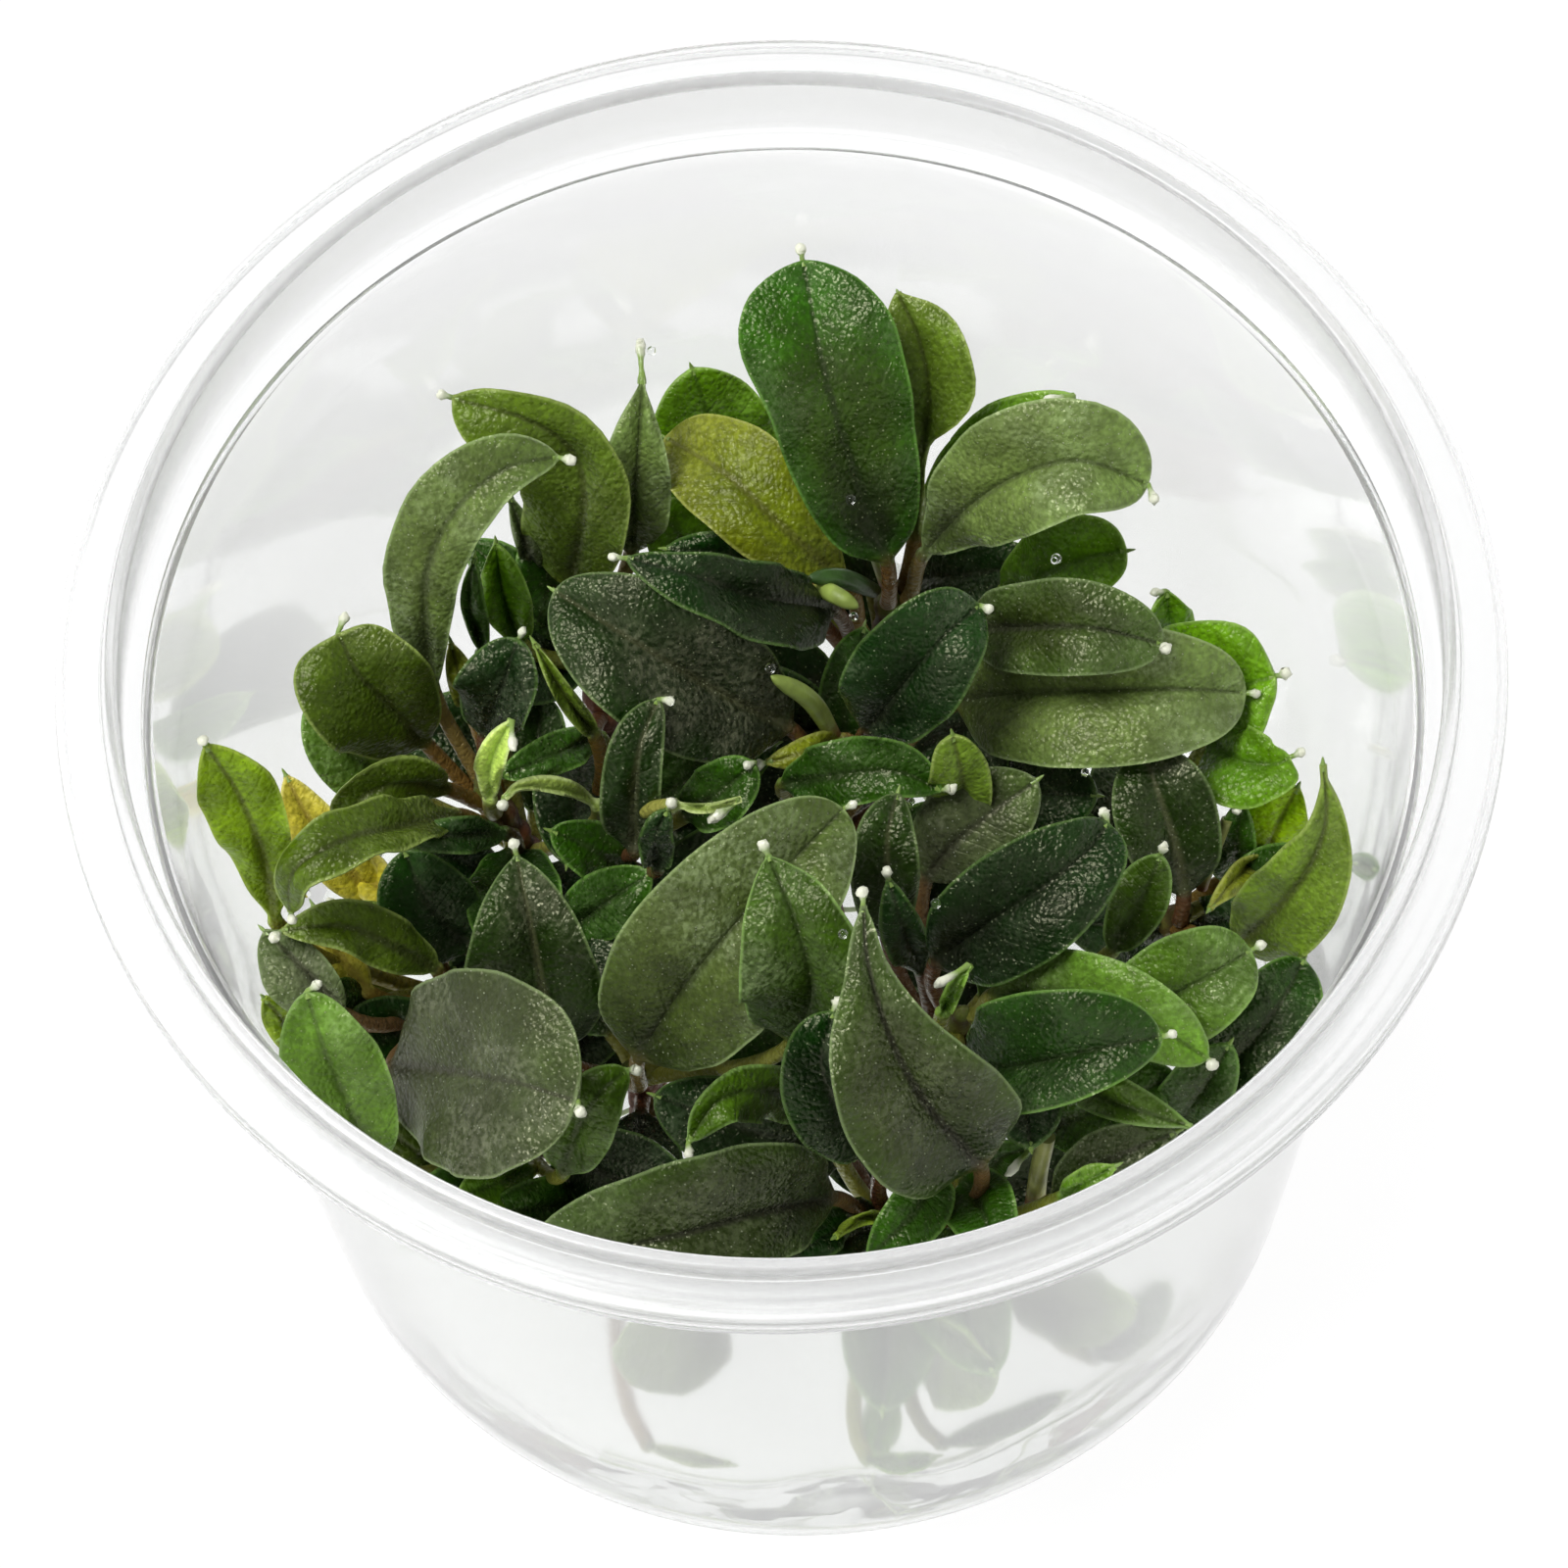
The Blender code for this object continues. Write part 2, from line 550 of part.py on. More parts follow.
def leafRings(leaf, line, spare=0.0):
    """The outline of a leaf at each station, which can be given some spare room all round"""
    facing, left = leafFrames(line)
    roll = np.radians(leaf["roll"])
    cup = np.radians(leaf["cup"])
    rings = []
    for station, centre in enumerate(line):
        along = easedSteps[max(station - petioleStations, 0)]
        if along <= 0:
            turn = bend = 0
            halves = (petioleRadius + spare, petioleRadius + spare)
            thick = petioleRadius * 0.9 + spare
        else:
            turn, bend = roll, cup
            width = bladeWidth(along, leaf["widest"], leaf["ends"])
            halves = [max(half * width, leafEdge) + spare for half in leaf["half"]]
            thick = leafHalfThick + spare
        toLeft = left[station] * np.cos(turn) + facing[station] * np.sin(turn)
        up = facing[station] * np.cos(turn) - left[station] * np.sin(turn)
        ring = []
        for side, lift in crossSection:
            half = halves[0] if side > 0 else halves[1]
            rise = abs(side) ** 1.6 * half * np.sin(bend) + lift * thick
            ring.append(centre + toLeft * side * half * np.cos(bend) + up * rise)
        rings.append(ring)
    return rings


def makeLeaf(name, material):
    return lofted("leaf_" + name, leafRings(leaves[name], leafLine(name)), material)


# Low leaves

def lowLine(seat, heading, length, rise):
    """The stations of a low leaf that leaves its rhizome at the seat and runs out this way"""
    out = np.array([np.cos(heading), np.sin(heading), 0])
    start = seat + out * lowSink
    base = seat + out * lowPetiole[0] + [0, 0, lowPetiole[1]]
    middle = base + out * length * 0.5 + [0, 0, rise * 0.75]
    end = base + out * length + [0, 0, rise]
    reach = np.linalg.norm(base - start) * 0.35
    startPull = start + (out * 0.6 + [0, 0, 0.8]) * reach
    endPull = base - unit(unit(middle - base) + unit(base - start)) * reach
    steps = np.linspace(0, 1, petioleStations, endpoint=False)
    blade = smoothLine([base, middle, end], easedSteps)
    return np.concatenate([bezier(start, startPull, endPull, base, steps), blade])


def hasRoom(rings, solids):
    size = len(rings[0])
    points = [tuple(point) for ring in rings for point in ring]
    faces = []
    for low in range(0, len(points) - size, size):
        for side in range(size):
            after = (side + 1) % size
            faces.append((low + side, low + after, low + size + after, low + size + side))
    surface = BVHTree.FromPolygons(points, faces)
    return not any(surface.overlap(solid) for solid in solids)


def surfaceOf(part):
    points = [tuple(vert.co / mm) for vert in part.data.vertices]
    return BVHTree.FromPolygons(points, [tuple(face.vertices) for face in part.data.polygons])


def findRoom(seat, level, solids):
    """The first low leaf of this level that has room, as its shape and its stations"""
    outward = np.arctan2(seat[1], seat[0])
    for turn in range(lowHeadings):
        heading = outward + np.radians(lowTurn) * level + 2 * np.pi * turn / lowHeadings
        for length in lowLengths:
            half = length * lowHalfShare
            leaf = {"roll": 0, "cup": 12, "widest": 0.5, "ends": (0.5, 0.55), "half": (half, half)}
            line = lowLine(seat, heading, length, lowRise[level])
            if hasRoom(leafRings(leaf, line, lowRoom), solids):
                return leaf, line
    return None, None


def growLowLeaves(name, stem, solids, material):
    """Joins the low leaves that have room into their rhizome, and gives their surfaces"""
    curve = stemLine(name, 9)
    grown = []
    for level, height in enumerate(lowLevels):
        seat = np.array([np.interp(height, curve[:, 2], curve[:, axis]) for axis in range(3)])
        leaf, line = findRoom(seat, level, solids + grown)
        if leaf is None:
            continue
        part = lofted("low", leafRings(leaf, line), material)
        part.hide_render = True
        union = stem.modifiers.new("low_" + str(level), "BOOLEAN")
        union.operation = "UNION"
        union.solver = "EXACT"
        union.object = part
        grown.append(surfaceOf(part))
    return grown


def main():
    for old in list(bpy.data.objects):
        bpy.data.objects.remove(old, do_unlink=True)
    makeCup()
    makeGel()
    materials = {name: plainMaterial(name, *values) for name, values in tones.items()}
    for name in leaves:
        makeLeaf(name, materials[leaves[name]["tone"]])
    stemParts = {name: makeStem(name, materials["rhizome"]) for name in stems}
    solids = {part.name: surfaceOf(part) for part in bpy.data.objects}
    low = []
    for name, part in stemParts.items():
        around = [solid for other, solid in solids.items() if other != part.name]
        grown = growLowLeaves(name, part, around + low, materials["deep"])
        low += grown
        print(name, len(grown), "low leaves")


main()
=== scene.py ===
import zlib
import bmesh
import bpy
import numpy as np
from mathutils import Matrix


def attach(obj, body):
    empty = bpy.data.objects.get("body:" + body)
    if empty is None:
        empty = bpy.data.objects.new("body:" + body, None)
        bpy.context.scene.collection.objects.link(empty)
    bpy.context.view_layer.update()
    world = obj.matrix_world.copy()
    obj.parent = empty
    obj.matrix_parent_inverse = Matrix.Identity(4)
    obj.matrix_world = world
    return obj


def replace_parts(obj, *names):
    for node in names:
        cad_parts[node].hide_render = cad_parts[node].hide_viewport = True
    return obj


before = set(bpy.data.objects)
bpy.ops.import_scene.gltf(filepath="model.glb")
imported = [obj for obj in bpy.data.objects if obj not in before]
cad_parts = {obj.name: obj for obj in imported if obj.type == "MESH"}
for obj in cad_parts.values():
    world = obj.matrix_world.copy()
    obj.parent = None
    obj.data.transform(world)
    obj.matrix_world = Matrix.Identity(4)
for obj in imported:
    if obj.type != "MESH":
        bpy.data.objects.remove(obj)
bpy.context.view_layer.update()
mm = 0.001  # sizes below are in millimetres, and each mesh is made in metres


# Sight lines of the one view that the leaves were read from, as in the CAD source

view = {
    "elevation": 63.2,  # degrees above the horizon
    "roll": 3.3,
    "distance": 470.0,
    "reach": 6370.0,  # focal length, in pixels of a 1600 x 1600 picture
    "centre": 800.0,
    "pictureSize": 1600.0,
    "aim": (-0.24, 0.0, 54.2),
    "sensor": 36.0,
}

elevation = np.radians(view["elevation"])
tilt = np.radians(view["roll"])
sightDown = np.array([0, np.cos(elevation), -np.sin(elevation)])
levelUp = np.array([0, np.sin(elevation), np.cos(elevation)])
levelRight = np.array([1.0, 0, 0])
sightRight = levelRight * np.cos(tilt) - levelUp * np.sin(tilt)
sightUp = levelUp * np.cos(tilt) + levelRight * np.sin(tilt)
viewPoint = np.array(view["aim"]) - view["distance"] * sightDown


def unit(vector):
    return vector / np.linalg.norm(vector)


def seeded(name):
    return np.random.default_rng(zlib.crc32(name.encode()))  # the same numbers on every run


def eased(amount):
    amount = np.clip(amount, 0, 1)
    return amount * amount * (3 - 2 * amount)


def shares(count):
    return np.linspace(0, 1, count)


def turns(count):
    return np.linspace(0, 2 * np.pi, count, endpoint=False)


def placeOf(reading):
    # a reading is a pixel of that view and a height
    across, down, height = reading
    aside = sightRight * (across - view["centre"]) / view["reach"]
    above = sightUp * (view["centre"] - down) / view["reach"]
    ray = sightDown + aside + above
    return viewPoint + ray * (height - viewPoint[2]) / ray[2]


def alongCurve(curve, values, places):
    # points of the curve where one of its values passes these places
    return np.stack([np.interp(places, values, curve[:, axis]) for axis in range(3)], axis=-1)


def smoothLine(points, steps):
    # stations along a smooth curve through the points, at these shares of its length
    points = [np.array(point, float) for point in points]
    knots = [2 * points[0] - points[1], *points, 2 * points[-1] - points[-2]]
    fine = []
    for back, start, stop, ahead in zip(knots, knots[1:], knots[2:], knots[3:]):
        for step in np.linspace(0, 1, 14, endpoint=False):
            fine.append(0.5 * (
                2 * start
                + (stop - back) * step
                + (2 * back - 5 * start + 4 * stop - ahead) * step ** 2
                + (3 * start - back - 3 * stop + ahead) * step ** 3))
    fine = np.array(fine + [knots[-2]])
    runs = np.concatenate([[0], np.cumsum(np.linalg.norm(np.diff(fine, axis=0), axis=1))])
    return alongCurve(fine, runs, runs[-1] * steps)


def bezier(start, startPull, endPull, end, steps):
    step = np.array(steps)[:, None]
    left = 1 - step
    leaving = left ** 3 * start + 3 * left ** 2 * step * startPull
    return leaving + 3 * left * step ** 2 * endPull + step ** 3 * end


def lengthOf(line):
    return np.linalg.norm(np.diff(line, axis=0), axis=1).sum()


def directions(line):
    runs = np.gradient(line, axis=0)
    return runs / np.linalg.norm(runs, axis=1)[:, None]


# Mesh helpers

def makePiece(name, verts, faces, material, slotName, values=None, sharpAngle=55):
    mesh = bpy.data.meshes.new(name)
    mesh.from_pydata((np.array(verts) * mm).tolist(), [], faces)
    work = bmesh.new()
    work.from_mesh(mesh)
    bmesh.ops.recalc_face_normals(work, faces=work.faces)
    work.to_mesh(mesh)
    work.free()
    for key, amounts in (values or {}).items():
        mesh.attributes.new(key, "FLOAT", "POINT").data.foreach_set("value", np.array(amounts, np.float32))
    mesh.shade_smooth()
    mesh.set_sharp_from_angle(angle=np.radians(sharpAngle))
    mesh.materials.append(material)
    piece = bpy.data.objects.new(name, mesh)
    bpy.context.scene.collection.objects.link(piece)
    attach(piece, "root")
    return piece


def loft(rings, offset=0):
    # faces through rings of the same number of points, closed at both ends
    size = len(rings[0])
    verts = np.concatenate(rings)
    faces = [tuple(range(offset, offset + size)),
             tuple(range(offset + len(verts) - size, offset + len(verts)))]
    for low in range(offset, offset + len(verts) - size, size):
        for side in range(size):
            after = (side + 1) % size
            faces.append((low + side, low + after, low + size + after, low + size + side))
    return verts, faces


def tubeRings(line, radii, sides, rough=0.0, chance=None):
    # round rings along a line, with no twist from one to the next
    runs = directions(line)
    across = unit(np.cross(runs[0], [0.31, 0.87, 0.38]))
    angles = turns(sides)[:, None]
    rings = []
    for centre, run, radius in zip(line, runs, radii):
        across = unit(across - across.dot(run) * run)
        other = np.cross(run, across)
        ring = centre + radius * (np.cos(angles) * across + np.sin(angles) * other)
        if rough:
            ring += (ring - centre) * chance.uniform(-rough, rough, (sides, 1))
        rings.append(ring)
    return rings


class Gathered:
    # many small closed shapes that become one piece

    def __init__(self):
        self.verts, self.faces, self.values = [], [], {}

    def add(self, rings, **values):
        verts, faces = loft(rings, sum(len(part) for part in self.verts))
        self.verts.append(verts)
        self.faces += faces
        for key, perRing in values.items():
            self.values.setdefault(key, []).append(np.repeat(perRing, len(rings[0])))

    def piece(self, name, material, slotName):
        values = {key: np.concatenate(parts) for key, parts in self.values.items()}
        return makePiece(name, np.concatenate(self.verts), self.faces, material, slotName, values, 70)


# Shader helpers

def put(tree, kind, inputs=None, **settings):
    node = tree.nodes.new("ShaderNode" + kind)
    for key, value in settings.items():
        setattr(node, key, value)
    for key, value in (inputs or {}).items():
        if isinstance(value, bpy.types.NodeSocket):
            tree.links.new(value, node.inputs[key])
        else:
            node.inputs[key].default_value = value
    return node


def sums(tree, operation, first, second=0.0, clamp=False):
    return put(tree, "Math", {0: first, 1: second}, operation=operation, use_clamp=clamp).outputs[0]


def times(tree, first, second):
    return sums(tree, "MULTIPLY", first, second)


def plus(tree, first, second, clamp=False):
    return sums(tree, "ADD", first, second, clamp)


def minus(tree, first, second, clamp=False):
    return sums(tree, "SUBTRACT", first, second, clamp)


def ramp(tree, value, low, high, least=0.0, most=1.0):
    # a smooth step from least to most as the value goes from low to high
    settings = {"Value": value, "From Min": low, "From Max": high, "To Min": least, "To Max": most}
    return put(tree, "MapRange", settings, interpolation_type="SMOOTHSTEP").outputs["Result"]


def mixed(tree, factor, first, second, blend="MIX"):
    return put(tree, "Mix", {0: factor, 6: first, 7: second}, data_type="RGBA", blend_type=blend).outputs[2]


def toned(tree, colour, noise, least, most):
    # the colour made darker and lighter by the noise
    return mixed(tree, 1.0, colour, ramp(tree, noise, 0.3, 0.7, least, most), "MULTIPLY")


def wandering(tree, value, noise, reach):
    return plus(tree, value, times(tree, minus(tree, noise, 0.5), reach))


def whereIn(tree):
    return put(tree, "TexCoord").outputs["Object"]


def noiseIn(tree, scale, detail):
    return put(tree, "TexNoise", {"Vector": whereIn(tree), "Scale": scale, "Detail": detail}).outputs["Fac"]


def cellsIn(tree, spacing, randomness):
    # cells this far apart in millimetres, and their scale
    scale = sums(tree, "DIVIDE", 1000.0, spacing)
    return put(tree, "TexVoronoi", {"Vector": whereIn(tree), "Scale": scale, "Randomness": randomness}), scale


def stationValue(tree, name):
    return put(tree, "Attribute", attribute_name=name).outputs["Fac"]


def feed(tree, inputs, values):
    for label, value in values.items():
        tree.links.new(value, inputs[label])


def raised(tree, height, strength, distance):
    return put(tree, "Bump", {"Height": height, "Strength": strength, "Distance": distance}).outputs["Normal"]


def newGroup(name, inputs, outputs):
    # inputs by name, where a colour has four parts, and outputs, where a colour is named Colour
    group = bpy.data.node_groups.new(name, "ShaderNodeTree")
    for label, value in inputs.items():
        kind = "NodeSocketFloat" if isinstance(value, float) else "NodeSocketColor"
        group.interface.new_socket(label, in_out="INPUT", socket_type=kind).default_value = value
    for label in outputs:
        kind = "NodeSocketColor" if label == "Colour" else "NodeSocketFloat"
        group.interface.new_socket(label, in_out="OUTPUT", socket_type=kind)
    return group, group.nodes.new("NodeGroupInput").outputs, group.nodes.new("NodeGroupOutput").inputs


def place(tree, group, inputs=None):
    return put(tree, "Group", inputs, node_tree=group).outputs


def newMaterial(name, values=None):
    material = bpy.data.materials.new(name)
    material.use_nodes = True
    shader = material.node_tree.nodes["Principled BSDF"]
    for label, value in (values or {}).items():
        shader.inputs[label].default_value = value
    return material, material.node_tree, shader


def seen(colour, share=1.0):
    # a colour as eight-bit screen values, turned to the linear values that shaders take
    screen = np.array(colour) / 255
    linear = np.where(screen <= 0.04045, screen / 12.92, ((screen + 0.055) / 1.055) ** 2.4)
    return (*(linear * share), 1.0)


# Shader groups that several materials share

def makePebble():
    # fine leathery bumps, as a height and a mask
    group, given, out = newGroup("pebble", {"Size": 0.4}, ("Height", "Patches"))
    grain, scale = cellsIn(group, given["Size"], 1.0)
    patches = noiseIn(group, times(group, scale, 0.11), 3.0)
    dome = minus(group, 1.0, grain.outputs["Distance"])
    height = times(group, plus(group, dome, noiseIn(group, scale, 2.0)), 0.5)
    feed(group, out, {"Height": height, "Patches": ramp(group, patches, 0.35, 0.65)})
    return group


def makeSpecks():
    # tiny pale dots scattered over a leaf, partly its own specks and partly painted glints
    group, given, out = newGroup("paleDotsAndGlints", {"Spacing": 0.7, "Dot": 0.16}, ("Mask",))
    cells = cellsIn(group, given["Spacing"], 0.9)[0]
    dotsAndGlints = ramp(group, cells.outputs["Distance"], given["Dot"], times(group, given["Dot"], 1.6), 1.0, 0.0)
    lot = put(group, "SeparateColor", {"Color": cells.outputs["Color"]}).outputs["Red"]
    feed(group, out, {"Mask": times(group, dotsAndGlints, ramp(group, lot, 0.1, 0.9, 0.25, 1.0))})
    return group


# Every leaf material sets all of these inputs
skinColours = ("Petiole", "Base", "Main", "Tip", "Midrib", "Rim", "Speck", "Painted Sheen")
skinAmounts = (
    "Painted Sheen Strength", "Midrib Width", "Midrib Strength", "Rim Strength", "Dots And Glints", "Mottling", "Roughness")
leafSkin = {
    "grain": 0.42,  # size of the pebbles, in millimetres
    "dotAndGlintSpacing": 0.46,
    "dotAndGlintSize": 0.115,
    "clouds": (260.0, 4.0),  # scale and detail of each noise
    "broad": (110.0, 5.0),
    "fine": (1900.0, 3.0),
    "relief": (300.0, 2.0),
    "veins": 11.0,
    "veinSlant": 0.55,
}


def makeLeafSkin(pebble, paleDotsAndGlints):
    inputs = {**{label: (0.1, 0.2, 0.1, 1) for label in skinColours}, **{label: 0.5 for label in skinAmounts}}
    group, given, out = newGroup("leafSkin", inputs, ("Colour", "Roughness", "Height"))
    along, middle, margin = (stationValue(group, name) for name in ("along", "middle", "margin"))
    grain = place(group, pebble, {"Size": leafSkin["grain"]})["Height"]
    dotsAndGlints = place(group, paleDotsAndGlints, {"Spacing": leafSkin["dotAndGlintSpacing"], "Dot": leafSkin["dotAndGlintSize"]})["Mask"]
    clouds = noiseIn(group, *leafSkin["clouds"])
    broad = noiseIn(group, *leafSkin["broad"])
    fine = noiseIn(group, *leafSkin["fine"])
    relief = noiseIn(group, *leafSkin["relief"])
    # colours from base to tip, with the tip's colour along the margin too
    wander = wandering(group, along, clouds, 0.35)
    colour = mixed(group, ramp(group, wander, 0.0, 0.45), given["Base"], given["Main"])
    colour = mixed(group, ramp(group, wander, 0.55, 1.0), colour, given["Tip"])
    colour = mixed(group, ramp(group, margin, 0.3, 2.8, 0.5, 0.0), colour, given["Tip"])
    # painted sheen: pale patches that stand in for the leaves' gloss, with lower roughness under them
    paintedSheen = times(group, ramp(group, broad, 0.47, 0.62), ramp(group, fine, 0.4, 0.6, 0.2, 1.0))
    colour = mixed(group, times(group, paintedSheen, given["Painted Sheen Strength"]), colour, given["Painted Sheen"])
    light = times(group, ramp(group, clouds, 0.3, 0.7, 0.6, 1.4), ramp(group, fine, 0.3, 0.7, 0.6, 1.4))
    colour = mixed(group, given["Mottling"], colour, mixed(group, 1.0, colour, light, "MULTIPLY"))
    # side veins run forward from the midrib to the margin
    aside = sums(group, "ABSOLUTE", middle)
    slant = times(group, aside, leafSkin["veinSlant"])
    veinPlace = minus(group, times(group, along, leafSkin["veins"]), slant)
    veins = ramp(group, sums(group, "SINE", times(group, veinPlace, 6.283)), 0.75, 1.0)
    colour = mixed(group, times(group, veins, 0.05), colour, given["Midrib"])
    ribReach = times(group, given["Midrib Width"], ramp(group, along, 0.0, 1.0, 1.0, 0.35))
    nearRib = minus(group, 1.0, sums(group, "DIVIDE", aside, ribReach), clamp=True)
    ribLine = times(group, ramp(group, nearRib, 0.0, 0.8), given["Midrib Strength"])
    colour = mixed(group, ribLine, colour, given["Midrib"])
    rimLine = times(group, ramp(group, margin, 0.08, 0.34, 1.0, 0.0), given["Rim Strength"])
    colour = mixed(group, rimLine, colour, given["Rim"])
    # pale dots, partly the leaf's own specks and partly painted glints
    colour = mixed(group, times(group, dotsAndGlints, given["Dots And Glints"]), colour, given["Speck"])
    colour = mixed(group, ramp(group, along, -0.06, 0.05), given["Petiole"], colour)
    roughness = plus(group, given["Roughness"], times(group, minus(group, 0.5, paintedSheen), 0.16), clamp=True)
    height = plus(group, plus(group, grain, times(group, dotsAndGlints, 0.5)), times(group, relief, 0.8))
    height = minus(group, height, times(group, veins, 0.12))
    feed(group, out, {"Colour": colour, "Roughness": roughness, "Height": height})
    return group


pebbleGroup = makePebble()
leafSkinGroup = makeLeafSkin(pebbleGroup, makeSpecks())
print("shader groups made")


def stalkMaterial(name, look):
    # a stalk's skin, whose colour changes from its foot to its top
    material, tree, shader = newMaterial(name)
    noise = noiseIn(tree, *look["noise"])
    along = wandering(tree, stationValue(tree, "along"), noise, look["wander"])
    colour = mixed(tree, ramp(tree, along, *look["turn"]), *[seen(end) for end in look["colours"]])
    if "light" in look:
        colour = toned(tree, colour, noise, *look["light"])
    if "scar" in look:
        scars = ramp(tree, stationValue(tree, "scar"), 0.55, 1.0, 0.0, 0.8)
        colour = mixed(tree, scars, colour, seen(look["scar"]))
    grain = place(tree, pebbleGroup, {"Size": look["grain"]})
    rough = (noise, 0.3, 0.7) if look.get("noisyRough") else (grain["Patches"], 0.0, 1.0)
    feed(tree, shader.inputs, {
        "Base Color": colour,
        "Normal": raised(tree, grain["Height"], *look["bump"]),
        "Roughness": ramp(tree, *rough, *look["rough"])})
    return material


# Camera, light and floor

studio = {
    "worldLow": (1.10, 1.10, 1.10, 1),  # towards the horizon
    "worldHigh": (0.14, 0.14, 0.14, 1),  # overhead
    "keyPlace": (-0.26, 0.04, 0.76),
    "keySize": 0.36,
    "keyPower": 5.2,
    "fillPlace": (-0.45, -0.45, 0.55),
    "fillSize": 0.5,
    "fillPower": 0.6,
    "lampAim": (0, 0, 0.04),
    "floorColour": 0.08,
    "floorGlow": 0.96,
    "floorReach": 6,
    "floorDrop": 0.0002,
}


def addObject(name, data, spot=(0, 0, 0), axes=None):
    item = bpy.data.objects.new(name, data)
    turn = Matrix([[*row] for row in np.stack(axes, axis=1)]) if axes else Matrix.Identity(3)
    item.matrix_world = Matrix.Translation(spot) @ turn.to_4x4()
    bpy.context.scene.collection.objects.link(item)
    return item


def makeStudio():
    scene = bpy.context.scene
    camera = bpy.data.cameras.new("camera")
    camera.sensor_width = view["sensor"]
    camera.lens = view["reach"] / view["pictureSize"] * view["sensor"]
    camera.clip_start = 0.01
    camera.clip_end = 20
    scene.camera = addObject("camera", camera, viewPoint * mm, [sightRight, sightUp, -sightDown])

    world = bpy.data.worlds.new("studio")
    world.use_nodes = True
    sky = world.node_tree
    heading = put(sky, "TexCoord").outputs["Generated"]
    upward = put(sky, "SeparateXYZ", {"Vector": heading}).outputs["Z"]
    glow = mixed(sky, ramp(sky, upward, 0.2, 0.6), studio["worldLow"], studio["worldHigh"])
    feed(sky, sky.nodes["Background"].inputs, {"Color": glow})
    scene.world = world
    for name in ("key", "fill"):
        lamp = bpy.data.lights.new(name, "AREA")
        lamp.shape = "DISK"
        lamp.size = studio[name + "Size"]
        lamp.energy = studio[name + "Power"]
        spot = np.array(studio[name + "Place"])
        toward = unit(np.array(studio["lampAim"]) - spot)
        sideways = unit(np.cross(toward, [0, 1, 0.01]))
        addObject(name, lamp, spot, [sideways, np.cross(sideways, toward), -toward])

    material = newMaterial("floor", {
        "Base Color": (*[studio["floorColour"]] * 3, 1), "Roughness": 0.9, "Specular IOR Level": 0.0,
        "Emission Color": (1, 1, 1, 1), "Emission Strength": studio["floorGlow"]})[0]
    material.cycles.emission_sampling = "NONE"  # it is found by rays that leave the part
    mesh = bpy.data.meshes.new("floor")
    far = studio["floorReach"]
    mesh.from_pydata([(-far, -far, 0), (far, -far, 0), (far, far, 0), (-far, far, 0)], [], [(0, 1, 2, 3)])
    mesh.materials.append(material)
    floor = addObject("floor", mesh, (0, 0, -studio["floorDrop"]))

    scene.view_settings.view_transform = "Standard"
    cycles = scene.cycles
    cycles.use_denoising = True
    cycles.use_light_tree = False
    cycles.light_sampling_threshold = 0.04
    cycles.adaptive_threshold = 0.05
    cycles.max_bounces = 14
    cycles.diffuse_bounces = 2
    cycles.transmission_bounces = 12
    cycles.transparent_max_bounces = 16
    cycles.caustics_reflective = False
    cycles.caustics_refractive = False


makeStudio()
print("studio made")


# Clear materials

def clearMaterial(name, colour, roughness, bending, through, shadowTint, bump=0.0, frost=None):
    # rays that carry light onto other things pass straight through, so the inside is lit
    material, tree, shader = newMaterial(name, {
        "Base Color": (*colour, 1), "Roughness": roughness, "IOR": bending, "Transmission Weight": through})
    if bump:
        feed(tree, shader.inputs, {"Normal": raised(tree, noiseIn(tree, 90.0, 2.0), bump, 0.002)})
    if frost:
        # frosted below the first height and above the second
        height = put(tree, "SeparateXYZ", {"Vector": whereIn(tree)}).outputs["Z"]
        (foot, footRough), (rim, rimRough) = frost
        low = ramp(tree, height, foot * mm * 0.8, foot * mm, footRough, roughness)
        high = ramp(tree, height, rim * mm, rim * mm + 0.002, 0.0, rimRough - roughness)
        feed(tree, shader.inputs, {"Roughness": plus(tree, low, high)})
    path = put(tree, "LightPath").outputs
    carries = sums(tree, "MAXIMUM", path["Is Shadow Ray"], path["Is Diffuse Ray"])
    straight = put(tree, "BsdfTransparent", {"Color": (*shadowTint, 1)})
    joined = put(tree, "MixShader", {0: carries, 1: shader.outputs[0], 2: straight.outputs[0]})
    feed(tree, tree.nodes["Material Output"].inputs, {"Surface": joined.outputs[0]})
    return material


# Cup, one clear moulding

cup = {
    "height": 77.0,
    "flangeRadius": 52.5,
    "flangeTop": 76.2,
    "skirtFoot": 74.3,
    "skirtThick": 0.6,
    "bead": (47.75, 49.05),  # inner and outer radius
    "beadRound": 0.45,
    "ridges": (51.45, 50.55),  # two low rings on the flange
    "ridgeLift": 0.04,
    "mouthRadius": 46.05,
    "mouthHeight": 69.85,
    "baseRadius": 40.7,
    "baseFillet": 2.6,
    "innerFillet": 1.9,
    "standRadius": 34.0,  # inside it the base is a little raised
    "standRise": 0.5,
    "wallThick": 0.75,
    "floorThick": 0.9,
    "sides": 192,
    "colour": (0.985, 0.988, 0.988),
    "shadowTint": (0.97, 0.97, 0.97),
    "roughness": 0.06,
    "bending": 1.46,
    "through": 0.9,
    "frost": ((4.0, 0.14), (70.5, 0.24)),  # height and roughness of the foot, then of the rim
}


def arc(across, up, radius, start, stop, count):
    angles = np.radians(np.linspace(start, stop, count))
    return [(across + radius * np.cos(angle), up + radius * np.sin(angle)) for angle in angles]


def wallRadius(height):
    # the outside of the wall, which widens evenly to the mouth
    widest = cup["mouthRadius"] + cup["wallThick"]
    return cup["baseRadius"] + (widest - cup["baseRadius"]) * height / cup["mouthHeight"]


def wallLine(heights, inward=0.0):
    return [(wallRadius(height) - inward, height) for height in heights]


